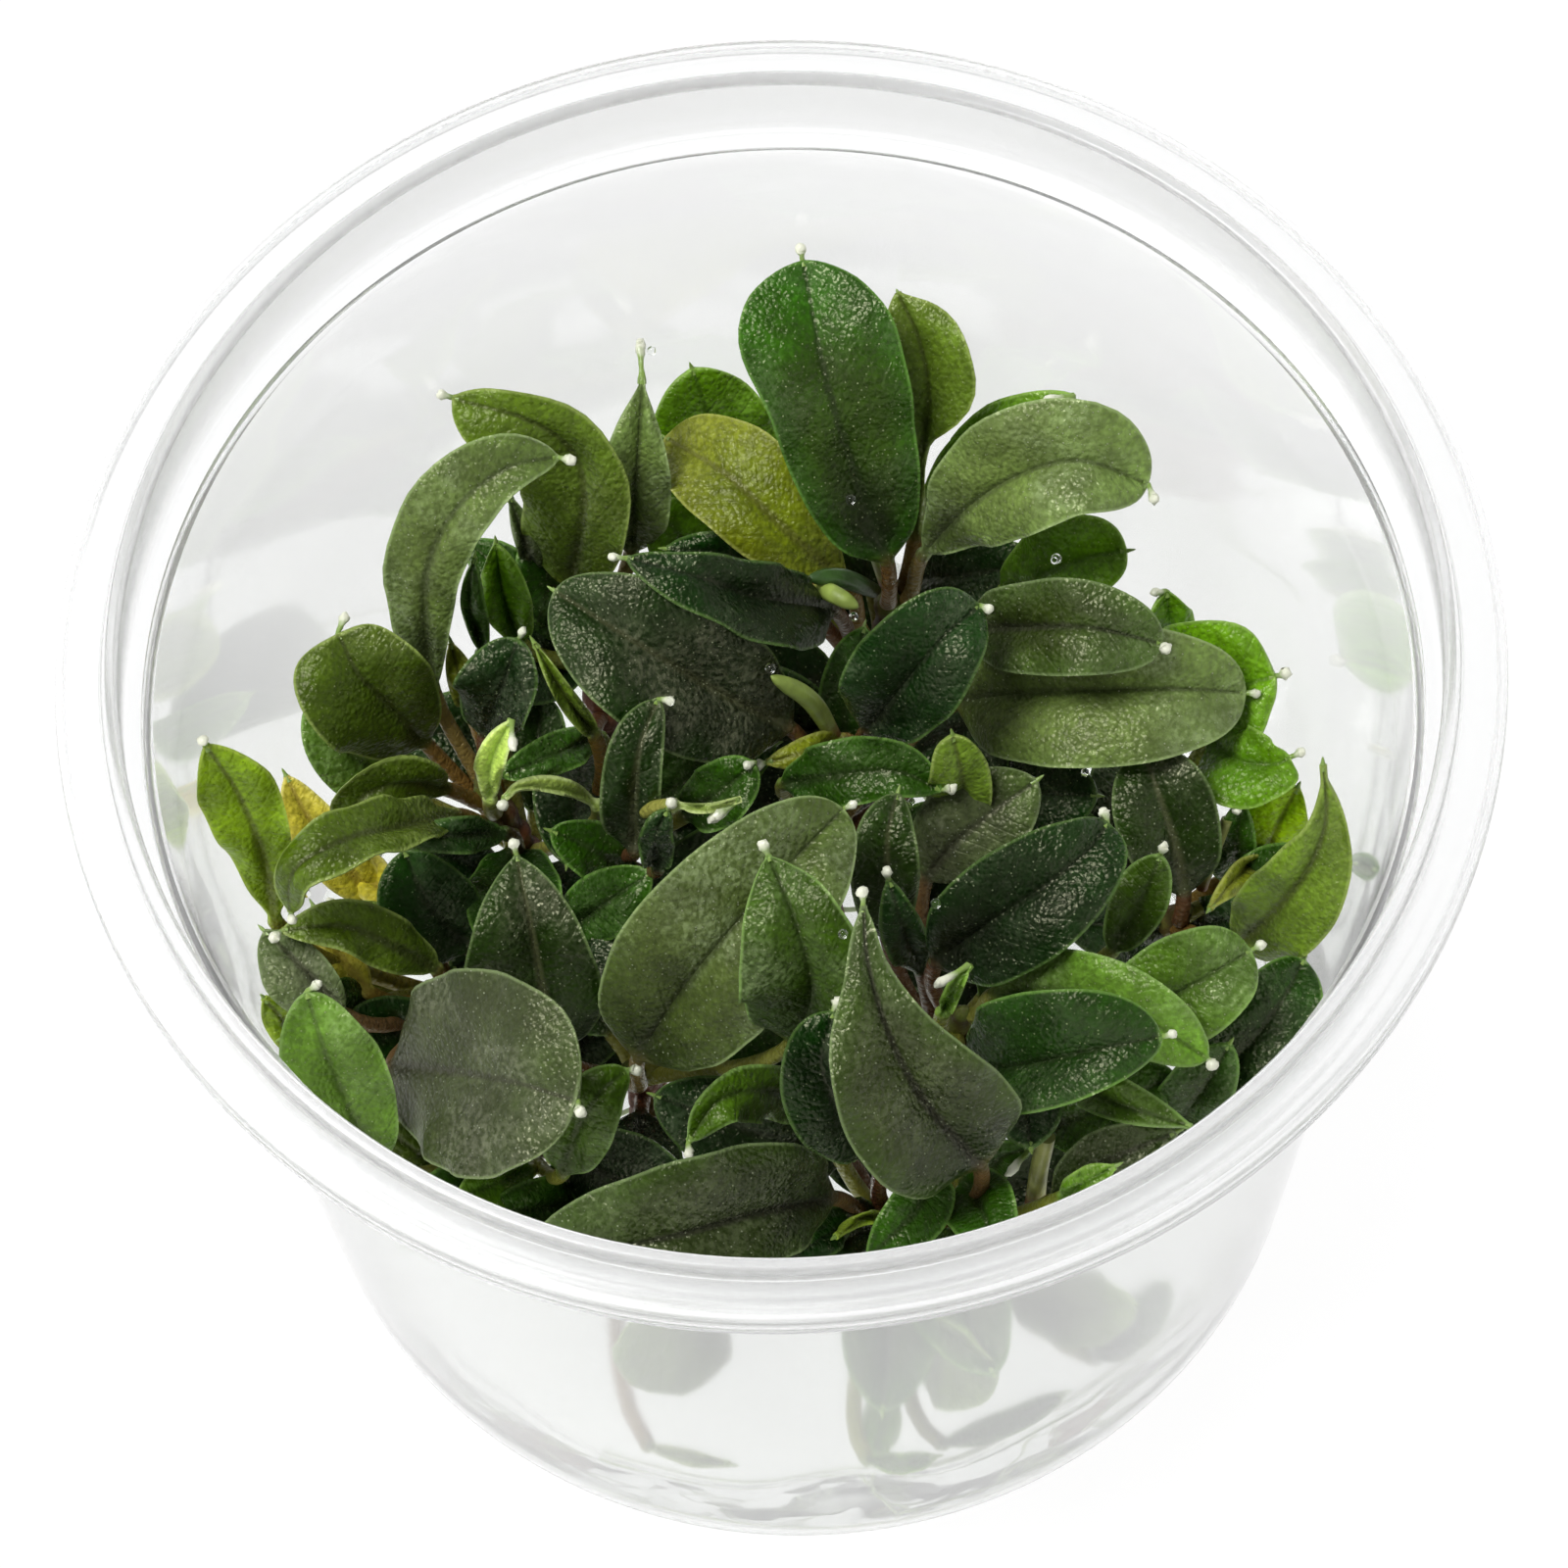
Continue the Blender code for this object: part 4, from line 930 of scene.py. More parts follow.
# Smaller leaves that fill the clump, which the CAD source leaves out
smallLeaves = {
    "pale_fold": leafOf("left", "pale", (500, 815, 40), (502, 775, 45), (522, 735, 48), half=(1.5, 1.3),
        shade=2.1, cup=30, widest=0.6, ends=(0.7, 0.6)),
    "pale_strip": leafOf("left", "pale", (610, 822, 38), (572, 804, 42), (532, 803, 43), (514, 815, 43),
        half=(0.5, 0.9), cup=10, ends=(0.6, 0.6)),
    "narrow_back": leafOf("left", "green", (492, 665, 38), (478, 612, 43), (484, 568, 47),
        half=(0.9, 1.8), cup=40, ends=(0.6, 0.8)),
    "cupped_young": leafOf("back_left", "bright", (530, 655, 34), (514, 610, 38), (506, 554, 42),
        half=(2.4, 3.0), cup=44, widest=0.55, ends=(0.6, 0.6)),
    "rolled_olive": leafOf("mid_left", "olive", (606, 748, 40), (575, 708, 45), (545, 656, 48),
        half=(1.5, 1.5), cup=55, widest=0.4, ends=(0.6, 0.7), wave=0.5),
    "dark_small": leafOf("back", "deep", (790, 590, 36), (740, 565, 40), (680, 560, 41), half=(1.8, 1.8),
        cup=14, ends=(0.55, 0.55)),
    "light_back": leafOf("back_left", "bright", (722, 592, 30), (692, 545, 36), (665, 512, 38),
        half=(3.2, 3.2)),
    "brown_yellow": leafOf("centre", "golden", (860, 755, 34), (820, 768, 36), (782, 778, 36),
        half=(1.5, 1.3), cup=16, widest=0.4, ends=(0.7, 0.6)),
    "second_bright": leafOf("back", "bright", (960, 500, 34), (1020, 436, 44), (1096, 404, 49.5),
        half=(2.2, 2.6), cup=14, ends=(0.6, 0.6)),
    "tiny_right": leafOf("right", "green", (1196, 652, 36), (1194, 630, 39), (1190, 603, 41),
        half=(2.4, 2.0), skin="bright", cup=20, ends=(0.6, 0.7)),
    "yellow_right": leafOf("right", "speckled", (1288, 880, 28), (1302, 845, 33), (1324, 803, 37),
        half=(3.0, 2.6), shade=2.6, cup=14, ends=(0.6, 0.6)),
    "olive_right": leafOf("right", "golden", (1290, 870, 31), (1260, 896, 35), (1234, 928, 37),
        half=(1.3, 1.2), cup=30, ends=(0.6, 0.8)),
    "tall_right": leafOf("right", "green", (1258, 905, 28), (1262, 862, 33), (1266, 818, 37),
        half=(2.2, 1.6), cup=16, ends=(0.6, 0.6)),
    "round_olive": leafOf("centre", "olive", (978, 836, 34), (982, 795, 41), (972, 750, 45),
        half=(2.9, 2.4), shade=1.6, cup=14, ends=(0.5, 0.36)),
    "tan_centre": leafOf("front_right", "deep", (945, 895, 33), (985, 850, 37), (1058, 796, 40),
        half=(4.2, 4.0), skin="grey", shade=1.3, cup=10, ends=(0.55, 0.55)),
    "upright_second": leafOf("front_right", "deep", (940, 990, 36), (920, 942, 43), (907, 898, 46),
        half=(2.0, 1.6), cup=14, ends=(0.55, 0.6)),
    "speckled_dark": leafOf("front_right", "deep", (1040, 1080, 36), (1045, 1125, 40), (1052, 1172, 42),
        half=(3.2, 2.8)),
    "narrow_bright": leafOf("front_right", "bright", (962, 1033, 46), (976, 1005, 50), (990, 984, 51),
        half=(0.8, 0.8), cup=30, ends=(0.6, 0.7)),
    "wavy_right": leafOf("front_right", "green", (1080, 1092, 38), (1130, 1122, 43), (1216, 1150, 43),
        half=(2.3, 1.6), skin="fresh", shade=0.8, cup=20, widest=0.45, ends=(0.6, 0.8), wave=0.6),
    "lower_right": leafOf("front_right", "green", (1190, 1160, 30), (1225, 1115, 36), (1255, 1065, 40),
        half=(3.0, 2.6)),
    "front_small": leafOf("front", "green", (985, 1205, 34), (1005, 1240, 39), (1015, 1282, 41),
        half=(2.9, 3.0), cup=14),
    "yellow_bit": leafOf("far_left", "speckled", (314, 1066, 28), (292, 1044, 32), (269, 1018, 35),
        half=(1.7, 1.6), cup=14, ends=(0.6, 0.6)),
    "olive_left": leafOf("far_left", "olive", (430, 958, 29), (395, 945, 32), (348, 925, 33),
        half=(1.9, 1.7), cup=10, ends=(0.6, 0.6)),
    "yellow_olive": leafOf("far_left", "golden", (410, 1010, 26), (360, 990, 30), (312, 955, 33),
        half=(1.7, 1.7), ends=(0.6, 0.6)),
    "dying_small": leafOf("far_left", "yellow", (345, 870, 27), (378, 896, 31), (408, 934, 33),
        half=(1.9, 1.8), cup=14, ends=(0.6, 0.7)),
    "dark_left": leafOf("far_left", "deep", (480, 968, 30), (436, 920, 35), (412, 868, 38),
        half=(4.2, 3.8), shade=1.3),
    "arched_left": leafOf("left", "deep", (455, 805, 35), (415, 797, 39), (370, 812, 40), (345, 845, 37),
        half=(2.6, 2.6), skin="olive", shade=0.6, roll=-24, cup=14, ends=(0.6, 0.6)),
    "low_left": leafOf("mid_left", "green", (612, 752, 35), (565, 770, 38), (512, 792, 39),
        half=(1.7, 1.8), cup=16),
    "wavy_centre": leafOf("mid_left", "green", (700, 832, 37), (735, 808, 40), (770, 778, 42),
        half=(2.6, 2.8), cup=14, wave=0.8),
    "small_spoon": leafOf("mid_left", "deep", (672, 885, 38), (670, 850, 43), (682, 826, 45),
        half=(1.5, 1.5), cup=16),
    "crescent": leafOf("mid_left", "pale", (688, 822, 45), (722, 823, 46), (755, 816, 45),
        half=(0.3, 0.6), cup=20, ends=(0.8, 0.8)),
    "low_centre": leafOf("mid_left", "green", (645, 892, 32), (602, 865, 36), (562, 848, 38),
        half=(2.4, 2.4)),
    "light_edge": leafOf("mid_left", "green", (580, 950, 30), (620, 920, 34), (665, 890, 36),
        half=(2.8, 2.8), cup=16, ends=(0.5, 0.6)),
    "left_low": leafOf("left", "deep", (515, 850, 36), (460, 852, 41), (405, 857, 42), half=(1.6, 1.5),
        shade=1.7, ends=(0.6, 0.6)),
    "bright_bit": leafOf("front", "bright", (1085, 1222, 36), (1108, 1206, 39), (1138, 1190, 40),
        half=(1.3, 1.2), cup=20, ends=(0.6, 0.6)),
    "green_bit": leafOf("front_left", "bright", (540, 1195, 29), (502, 1208, 33), (465, 1224, 35),
        half=(2.4, 2.4), cup=14, ends=(0.5, 0.6)),
    "front_bit": leafOf("front", "green", (1005, 1205, 30), (1022, 1180, 34), (1052, 1172, 36),
        half=(1.5, 1.5), cup=14, ends=(0.6, 0.6)),
    "grey_left": leafOf("far_left", "grey", (348, 1034, 36), (314, 992, 39), (270, 950, 40),
        half=(3.6, 2.0), shade=1.9, cup=24, ends=(0.5, 0.6)),
    "behind_arch": leafOf("back_left", "green", (585, 640, 29), (562, 590, 34), (540, 545, 37),
        half=(3.0, 2.6), shade=0.8, cup=14),
    "under_rolled": leafOf("back_left", "deep", (590, 650, 26), (545, 680, 30), (480, 690, 33),
        half=(3.4, 3.4)),
    "yellow_fold": leafOf("left", "golden", (480, 722, 34), (470, 692, 38), (460, 656, 40),
        half=(1.3, 1.5), cup=30, ends=(0.5, 0.6)),
    "pale_behind": leafOf("back_left", "grey", (548, 585, 34), (534, 548, 39), (520, 506, 42),
        half=(0.9, 1.4), shade=1.3, cup=24, ends=(0.5, 0.7)),
    "under_draped": leafOf("left", "deep", (505, 900, 26), (470, 878, 30), (420, 868, 33),
        half=(2.2, 2.2)),
    "under_broad": leafOf("back", "deep", (925, 592, 29), (985, 586, 33), (1060, 575, 36),
        half=(3.2, 3.4)),
    "under_dark": leafOf("centre", "deep", (856, 768, 28), (800, 728, 32), (735, 688, 35),
        half=(3.6, 3.4)),
    "under_right": leafOf("centre", "deep", (970, 792, 26), (1040, 806, 31), (1120, 812, 34),
        half=(4.6, 4.4)),
    "under_arch": leafOf("front", "deep", (860, 1180, 26), (775, 1158, 31), (668, 1118, 34),
        half=(4.2, 4.0), shade=0.75),
    "under_left": leafOf("front_left", "olive", (480, 1205, 24), (440, 1185, 29), (390, 1150, 32),
        half=(2.6, 2.6), shade=0.5),
    "under_bits": leafOf("front_left", "green", (590, 1222, 25), (550, 1232, 30), (492, 1240, 33),
        half=(2.4, 2.4)),
    "under_front": leafOf("front", "deep", (900, 1252, 26), (868, 1262, 30), (826, 1284, 33),
        half=(2.0, 3.0)),
    "under_great": leafOf("right", "deep", (1190, 950, 25), (1140, 945, 30), (1085, 940, 33),
        half=(3.0, 3.0)),
    "beside_right": leafOf("right", "deep", (1218, 945, 25), (1245, 942, 29), (1285, 935, 32),
        half=(2.4, 2.4)),
    "lower_great": leafOf("front_right", "green", (1060, 1155, 28), (1120, 1130, 33), (1200, 1098, 36),
        half=(3.4, 3.2), shade=1.3),
    "brown_left": leafOf("far_left", "deep", (448, 1064, 24), (408, 1052, 29), (355, 1036, 32),
        half=(3.0, 3.0)),
    "wall_left": leafOf("centre_left", "grey", (-10, -26, 19), (-10.5, -31, 28), (-11, -35, 37),
        (-11.5, -37.5, 46), half=(6.0, 6.0), skin="sage", shade=1.2, cup=10, widest=0.6, ends=(0.5, 0.4),
        seat=18.0),
    "wall_right": leafOf("front", "grey", (8.5, -29.5, 19), (10, -34, 28), (11, -38, 38),
        half=(6.0, 6.0), skin="sage", cup=10, seat=17.0),
    "wall_far": leafOf("front", "green", (15, -27, 18), (20, -30.5, 23), (24, -33, 29), half=(3.0, 3.2),
        skin="sage", cup=10, seat=19.0),
    "wet_front": leafOf("front", "bright", (5, -33, 14.4), (4.5, -36, 14.2), (4, -38.6, 14.4),
        half=(1.5, 1.7), cup=10, seat=15.0),
    "wet_green": leafOf("front", "bright", (3.2, -38.9, 14.8), (5.8, -39.5, 15.0), (8.4, -39.0, 14.8),
        half=(0.9, 0.9), shade=0.8, cup=10, seat=15.0),
    "wet_band": leafOf("front", "green", (9, -38.2, 15.4), (13.7, -37.2, 16.4), (18.6, -35.4, 17.4),
        half=(1.0, 1.2), cup=10, seat=16.0),
    "wet_right": leafOf("front_right", "green", (21.2, -32.1, 16), (24.3, -30.5, 18.5),
        (27.1, -28.5, 22), half=(1.8, 1.8), cup=10, seat=16.0),
    "wet_left": leafOf("centre_left", "olive", (-13.6, -37.2, 16), (-10.6, -38.5, 16.5),
        (-7.4, -39.1, 16), half=(0.6, 0.7), cup=10, seat=16.0),
    "under_notch": leafOf("front", "deep", (868, 1240, 31), (835, 1262, 33), (800, 1290, 34),
        half=(1.8, 1.8)),
    "yellow_low": leafOf("far_left", "yellow", (376, 1012, 32), (345, 972, 34), (320, 925, 35),
        half=(1.7, 1.7), cup=14, ends=(0.5, 0.6)),
    "gap_strip": leafOf("front", "speckled", (905, 1240, 30), (880, 1243, 33), (852, 1262, 35),
        half=(0.6, 0.6), cup=20, ends=(0.6, 0.8)),
}

blade = {
    "petioleRadius": 0.62,
    "halfThick": 0.24,  # half the thickness beside the midrib
    "marginHalf": 0.08,  # and at the margin
    "tipHalf": 0.3,  # least half width
    "crease": 1.8,  # how sharply the halves meet, where 0.85 is flat
    "channel": 0.16,  # depth of the groove over the midrib
    "keel": 0.3,  # and depth of the rib under it
    "buckle": 0.3,  # how far the surface swells and dips
    "petiolePull": 0.35,  # how far each end of a petiole keeps its heading
    "petioleStations": 9,
    "stations": {"large": 34, "small": 24, "low": 18},
    "across": (1, 0.98, 0.91, 0.78, 0.6, 0.42, 0.26, 0.13, 0.045),  # mirrored on the other side
    "topSeat": 1.0,  # how far under its rhizome's top the highest petiole starts
    "seatStep": 2.0,
}


def steepness(leaf):
    # how steeply a petiole climbs, because the steepest grow highest on their rhizome
    top = placeOf(stems[leaf["stem"]]["crown"])
    base = placeOf(leaf["path"][0])
    return (base[2] - top[2] + blade["seatStep"]) / np.linalg.norm(base[:2] - top[:2])


def leafLine(leaf, steps):
    curve = stemLine(leaf["stem"], 9)
    height, points = leaf["seat"], leaf["path"]
    if not height:
        sharing = [other for other in leaves.values() if other["stem"] == leaf["stem"]]
        rank = sum(steepness(other) > steepness(leaf) for other in sharing)
        height = curve[-1][2] - blade["topSeat"] - blade["seatStep"] * rank
        points = [placeOf(reading) for reading in points]
    seat = alongCurve(curve, curve[:, 2], max(height, gel["top"] + 0.6))
    line = smoothLine(points, steps)
    out = unit((line[0] - seat) * [1, 1, 0])
    start = seat + out * (rhizome["radius"] * 0.6)
    reach = np.linalg.norm(line[0] - start) * blade["petiolePull"]
    startPull = start + (out * 0.6 + [0, 0, 0.8]) * reach
    endPull = line[0] - unit(unit(line[1] - line[0]) + unit(line[0] - start)) * reach
    stalkSteps = np.linspace(0, 1, blade["petioleStations"], endpoint=False)
    return np.concatenate([bezier(start, startPull, endPull, line[0], stalkSteps), line])


def leafFrames(line):
    # at each station the way the leaf faces, and its left
    first = blade["petioleStations"]
    runs = directions(line)
    facing = -sightDown + (runs @ sightDown)[:, None] * runs
    facing /= np.linalg.norm(facing, axis=1)[:, None]
    for station in range(first + 1, len(line)):
        kept = facing[station - 1] - facing[station - 1].dot(runs[station]) * runs[station]
        facing[station] = unit(0.45 * facing[station] + unit(kept))
    for station in range(first - 1, -1, -1):
        facing[station] = unit(facing[station + 1] - facing[station + 1].dot(runs[station]) * runs[station])
    return facing, np.cross(facing, runs)


def sideWidths(leaf, side, steps):
    # widths in millimetres of one side of the blade along its stations
    if side in leaf:
        given = leaf[side]
        width = smoothLine([(knot, amount, 0) for knot, amount in zip(shares(len(given)), given)], shares(90))
        baseRound = np.sqrt(1 - (1 - np.clip(steps / 0.16, 0, 1)) ** 2)
        tipRound = np.sqrt(1 - (1 - np.clip((1 - steps) / 0.1, 0, 1)) ** 2)
        return np.interp(steps, width[:, 0], width[:, 1]) * baseRound * tipRound
    half = leaf["half"][0 if side == "left" else 1]
    widest, (baseEnd, tipEnd) = leaf["widest"], leaf["ends"]
    before = np.sin(np.pi / 2 * np.clip(steps / widest, 0, 1)) ** baseEnd
    after = np.abs(np.cos(np.pi / 2 * np.clip((steps - widest) / (1 - widest), 0, 1))) ** tipEnd
    return half * np.where(steps < widest, before, after)


def bladeShape(name, leaf, stations):
    # the rings of a leaf and its values, from the petiole's foot to the tip
    chance = seeded(name)
    steps = (1 - np.cos(np.linspace(0, np.pi, stations))) / 2
    line = leafLine(leaf, steps)
    facing, left = leafFrames(line)
    first = blade["petioleStations"]
    length = lengthOf(line[first:])
    widths = [sideWidths(leaf, side, steps) for side in ("left", "right")]
    half = np.array(blade["across"])
    across = np.concatenate([half, [0], -half[::-1]])
    size = np.abs(across)
    roll, bend = np.radians(leaf["roll"]), np.radians(leaf["cup"])
    waves = max(2, round(length / 6))
    phases = chance.uniform(0, 2 * np.pi, 6)
    phase = np.where(across > 0, phases[0], phases[1])
    fold = size * (blade["crease"] - (blade["crease"] - 0.85) * size)
    flat = blade["marginHalf"] + (blade["halfThick"] - blade["marginHalf"]) * (1 - size ** 3)
    rings, values = [], {"along": [], "middle": [], "margin": []}
    for station, centre in enumerate(line):
        inBlade = station >= first
        along = steps[station - first] if inBlade else station / first - 1
        grow = eased(along / 0.09) if inBlade else 0.0
        stalk = blade["petioleRadius"] * (1 + 0.35 * max(-along - 0.5, 0))
        least = stalk * (1 - grow) + blade["tipHalf"] * grow
        wide = [max(width[station - first], least) if inBlade else stalk for width in widths]
        reach = np.where(across > 0, wide[0], wide[1])
        wave = leaf["wave"] * size ** 3 * np.sin(2 * np.pi * waves * along + phase)
        buckle = blade["buckle"] * np.sin(3.1 * across + phases[2]) * np.sin(7 * along + phases[3])
        buckle += 0.5 * blade["buckle"] * np.sin(6.3 * across + phases[4]) * np.sin(15 * along + phases[5])
        swell = np.sin(np.pi * np.clip(along, 0, 1)) ** 0.5
        lift = (fold * reach * np.sin(bend) + (wave + buckle) * swell) * grow
        nearRib = np.exp(-(across * reach / 0.5) ** 2)
        fade = np.sqrt(1 - max(along, 0)) * grow
        roundOut = stalk * np.sqrt(np.clip(1 - size ** 2, 0, 1)) * 0.9 * (1 - grow)
        above = (flat - blade["channel"] * nearRib * fade) * grow + roundOut
        below = (flat + blade["keel"] * nearRib * fade) * grow + roundOut
        turn = roll * grow
        toLeft = left[station] * np.cos(turn) + facing[station] * np.sin(turn)
        up = facing[station] * np.cos(turn) - left[station] * np.sin(turn)
        inward = centre + np.outer(across * reach * (np.cos(bend) * grow + 1 - grow), toLeft)
        top, bottom = inward + np.outer(lift + above, up), inward + np.outer(lift - below, up)
        rings.append(np.concatenate([top, bottom[::-1]]))
        margin = (1 - size) * reach
        margin = np.minimum(margin, (1 - along) * length * 0.8) if inBlade else margin + 2
        middle = across * reach
        values["along"].append(np.full(2 * len(across), along))
        values["middle"].append(np.concatenate([middle, middle[::-1]]))
        values["margin"].append(np.concatenate([margin, margin[::-1]]))
    return rings, {key: np.concatenate(parts) for key, parts in values.items()}, line, facing


# Low leaves, which grow in the rooms that the upper ones leave, as in the CAD source
lowGrowth = {
    "levels": (27.0, 24.2, 21.4, 18.6, 15.8),  # heights of their seats
    "lengths": (14.0, 11.5, 9.0),  # tried from the longest
    "halfShare": 0.28,  # half the width, as a share of the length
    "ends": (0.5, 0.55),
    "rise": (5.5, 4.5, 3.5, 2.5, 1.5),
    "petiole": (3.6, 2.6),  # how far out and up from its seat a blade starts
    "headings": 24,
    "turn": 137.5,  # degrees from one level to the next
    "near": 0.5,  # how near the corners of a leaf's end are to the end of its path
    "off": 0.2,  # and how near their middle is
    "tones": ("green", "deep", "green", "deep", "deep"),
    "shade": 0.8,
}


def lowPath(seat, heading, length, rise):
    out = np.array([np.cos(heading), np.sin(heading), 0])
    base = seat + out * lowGrowth["petiole"][0] + [0, 0, lowGrowth["petiole"][1]]
    return [base, base + out * length * 0.5 + [0, 0, rise * 0.75], base + out * length + [0, 0, rise]]


def endsIn(corners, end):
    # whether a leaf of the CAD node ends at this point
    near = corners[np.linalg.norm(corners - end, axis=1) < lowGrowth["near"]]
    return len(near) > 5 and np.linalg.norm(near.mean(axis=0) - end) < lowGrowth["off"]


def lowLeaves():
    found = {}
    trials = [(turn, length) for turn in range(lowGrowth["headings"]) for length in lowGrowth["lengths"]]
    for name in stems:
        solid = bpy.data.objects["rhizome_" + name].data
        corners = np.empty(len(solid.vertices) * 3, np.float32)
        solid.vertices.foreach_get("co", corners)
        corners = np.unique(np.round(corners.reshape(-1, 3) / mm, 3), axis=0)
        curve = stemLine(name, 9)
        for level, height in enumerate(lowGrowth["levels"]):
            seat = alongCurve(curve, curve[:, 2], height)
            outward = np.arctan2(seat[1], seat[0]) + np.radians(lowGrowth["turn"]) * level
            for turn, length in trials:
                heading = outward + 2 * np.pi * turn / lowGrowth["headings"]
                path = lowPath(seat, heading, length, lowGrowth["rise"][level])
                if endsIn(corners, path[-1]):
                    half = length * lowGrowth["halfShare"]
                    found["low_" + name + str(level)] = leafOf(
                        name, lowGrowth["tones"][level], *path, half=(half, half), seat=height,
                        ends=lowGrowth["ends"], shade=lowGrowth["shade"])
                    break
    return found


tipsOf = {}  # where each leaf ends, the way it runs there and the way it faces


def makeLeaf(name, leaf, kind):
    rings, values, line, facing = bladeShape(name, leaf, blade["stations"][kind])
    material = leafMaterial(leaf["skin"], leaf["shade"], leaf["rib"])
    slotName = "leaf_" + leaf["tone"].replace("pale", "speckled")
    tipsOf[name] = (line[-1], unit(line[-1] - line[-3]), facing[-1])
    return makePiece("blade_" + name, *loft(rings), material, slotName, values)


def makeLeaves():
    for name, leaf in leaves.items():
        piece = makeLeaf(name, leaf, "large")
        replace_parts(piece, "leaf_" + name)
    for name, leaf in smallLeaves.items():
        makeLeaf(name, leaf, "small")
    low = lowLeaves()
    for name, leaf in low.items():
        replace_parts(makeLeaf(name, leaf, "low"), "rhizome_" + leaf["stem"])
    print(len(leaves), "main leaves,", len(smallLeaves), "small leaves and", len(low), "low leaves")


makeLeaves()
print("leaves made")


# Leaf tips, each with a small cream knob, and the droplets beside some of them

# where each knob is seen; a leaf that isn't here has a plain green point
knobs = {
    "tall_back": (824, 262), "olive_arch": (457, 400), "tall_left": (584, 470), "pointed_back": (653, 349),
    "square_left": (352, 628), "far_left": (213, 755), "draped_left": (298, 940), "wavy_left": (279, 958),
    "front_left": (325, 1003), "broad_front_left": (592, 1135), "left_centre": (529, 866),
    "low_front_left": (650, 1092), "arch_front": (703, 1178), "great_centre": (870, 821),
    "bright_centre": (782, 866), "front_centre": (880, 912), "dark_front": (855, 1022),
    "front_right": (1196, 1055), "green_right": (1237, 1086), "outer_right": (1280, 964),
    "small_right": (1184, 864), "dark_right": (1126, 828), "right_great": (1274, 707),
    "right_upper": (1190, 663), "dark_centre": (1009, 622), "broad_back": (1178, 510),
    "bright_side": (1046, 415), "second_bright": (1068, 407), "right_small": (1320, 771),
    "right_curled": (1307, 691), "spoon": (684, 715), "green_arch": (972, 804), "rolled_edge": (624, 568),
    "pale_fold": (524, 764), "pale_strip": (513, 822), "brown_yellow": (780, 780), "wavy_centre": (762, 781),
    "tiny_right": (1178, 604), "upright_second": (912, 897), "narrow_bright": (957, 1004),
    "small_spoon": (684, 828), "crescent": (726, 836), "tall_right": (1262, 826), "front_bit": (1029, 1198),
    "low_left": (505, 792), "folded_left": (528, 650), "olive_left": (346, 921),
}

tip = {
    "neck": 0.2,
    "knob": 0.42,
    "sink": 0.5,  # how far its foot is inside the leaf
    "wallGap": 1.0,  # a tip nearer than this to the wall's outside stays short
    "leastReach": 0.8,  # a knob read nearer to its leaf than this stands up from it
    "sides": 10,
    "unevenness": 0.18,
    "knobRadii": (0.75, 1, 1.02, 0.8, 0.3),  # as shares of its radius
    "pointRadii": (0.3, 0.28, 0.24, 0.18, 0.14, 0.1, 0.04),
    "look": {
        "colours": ((132, 160, 78), (232, 234, 212)), "turn": (0.3, 0.75),
        "noise": (1500.0, 3.0), "wander": 0.5, "grain": 0.25,
        "bump": (0.6, 0.0001), "rough": (0.2, 0.45), "noisyRough": True},
}

drop = {
    "radius": 0.42,
    "sides": 14,
    "stations": 9,
    "colour": (0.98, 0.99, 0.98),
    "shadowTint": (0.97, 0.97, 0.97),
    "roughness": 0.02,
    "bending": 1.33,
    # where each is seen, its height and its size as a share of the radius
    "places": (
        (1078, 570, 46, 1.0), (880, 908, 49, 0.8), (930, 818, 47, 0.7), (955, 922, 47, 1.0),
        (313, 912, 45, 0.8), (665, 358, 52, 0.9), (868, 510, 47, 1.0), (823, 592, 43, 1.0),
        (871, 629, 42, 0.9), (786, 682, 45, 1.0), (860, 953, 60, 0.9), (1107, 788, 43, 0.8),
        (1076, 572, 46, 0.7), (684, 716, 48, 0.8)),
}


def makeTips():
    shapes = Gathered()
    for name, (end, run, facing) in tipsOf.items():
        chance = seeded("tip" + name)
        foot = end - run * tip["sink"]
        if name in knobs:
            goal = placeOf((*knobs[name], end[2] + 0.4))
            if np.linalg.norm(goal - end) < tip["leastReach"]:
                goal = end + run * 0.9 + facing * 0.3
            middle = (end + goal) / 2 + facing * 0.15
            points = [foot, end, middle, goal, goal + facing * 0.35 + chance.normal(0, 0.12, 3)]
            neck, knob = tip["neck"], tip["knob"] * chance.uniform(0.8, 1.15)
            radii = [0.34, 0.3, 0.26, neck, neck, neck * 1.1, *[knob * share for share in tip["knobRadii"]]]
            shade = shares(11) ** 1.2
        else:
            room = np.clip(wallRadius(end[2]) - tip["wallGap"] - np.hypot(end[0], end[1]), 0.05, 1)
            points = [foot, end, end + (run * 0.7 + facing * 0.1) * room]
            radii = tip["pointRadii"]
            shade = np.zeros(7)
        line = smoothLine(points, shares(len(radii)))
        shapes.add(tubeRings(line, radii, tip["sides"], tip["unevenness"], chance), along=shade)
    shapes.piece("leafTips", stalkMaterial("creamTip", tip["look"]), "leaf_speckled")


def makeDroplets():
    shapes = Gathered()
    for across, down, height, size in drop["places"]:
        radius = drop["radius"] * size
        angles = np.linspace(0.12, np.pi - 0.12, drop["stations"])
        line = placeOf((across, down, height)) + np.outer(-np.cos(angles), [0, 0, radius])
        shapes.add(tubeRings(line, radius * np.sin(angles), drop["sides"]))
    material = clearMaterial("waterDrop", drop["colour"], drop["roughness"], drop["bending"], 1.0,
                             drop["shadowTint"])
    shapes.piece("droplets", material, "growing_gel")


makeTips()
makeDroplets()
print("tips and droplets made")


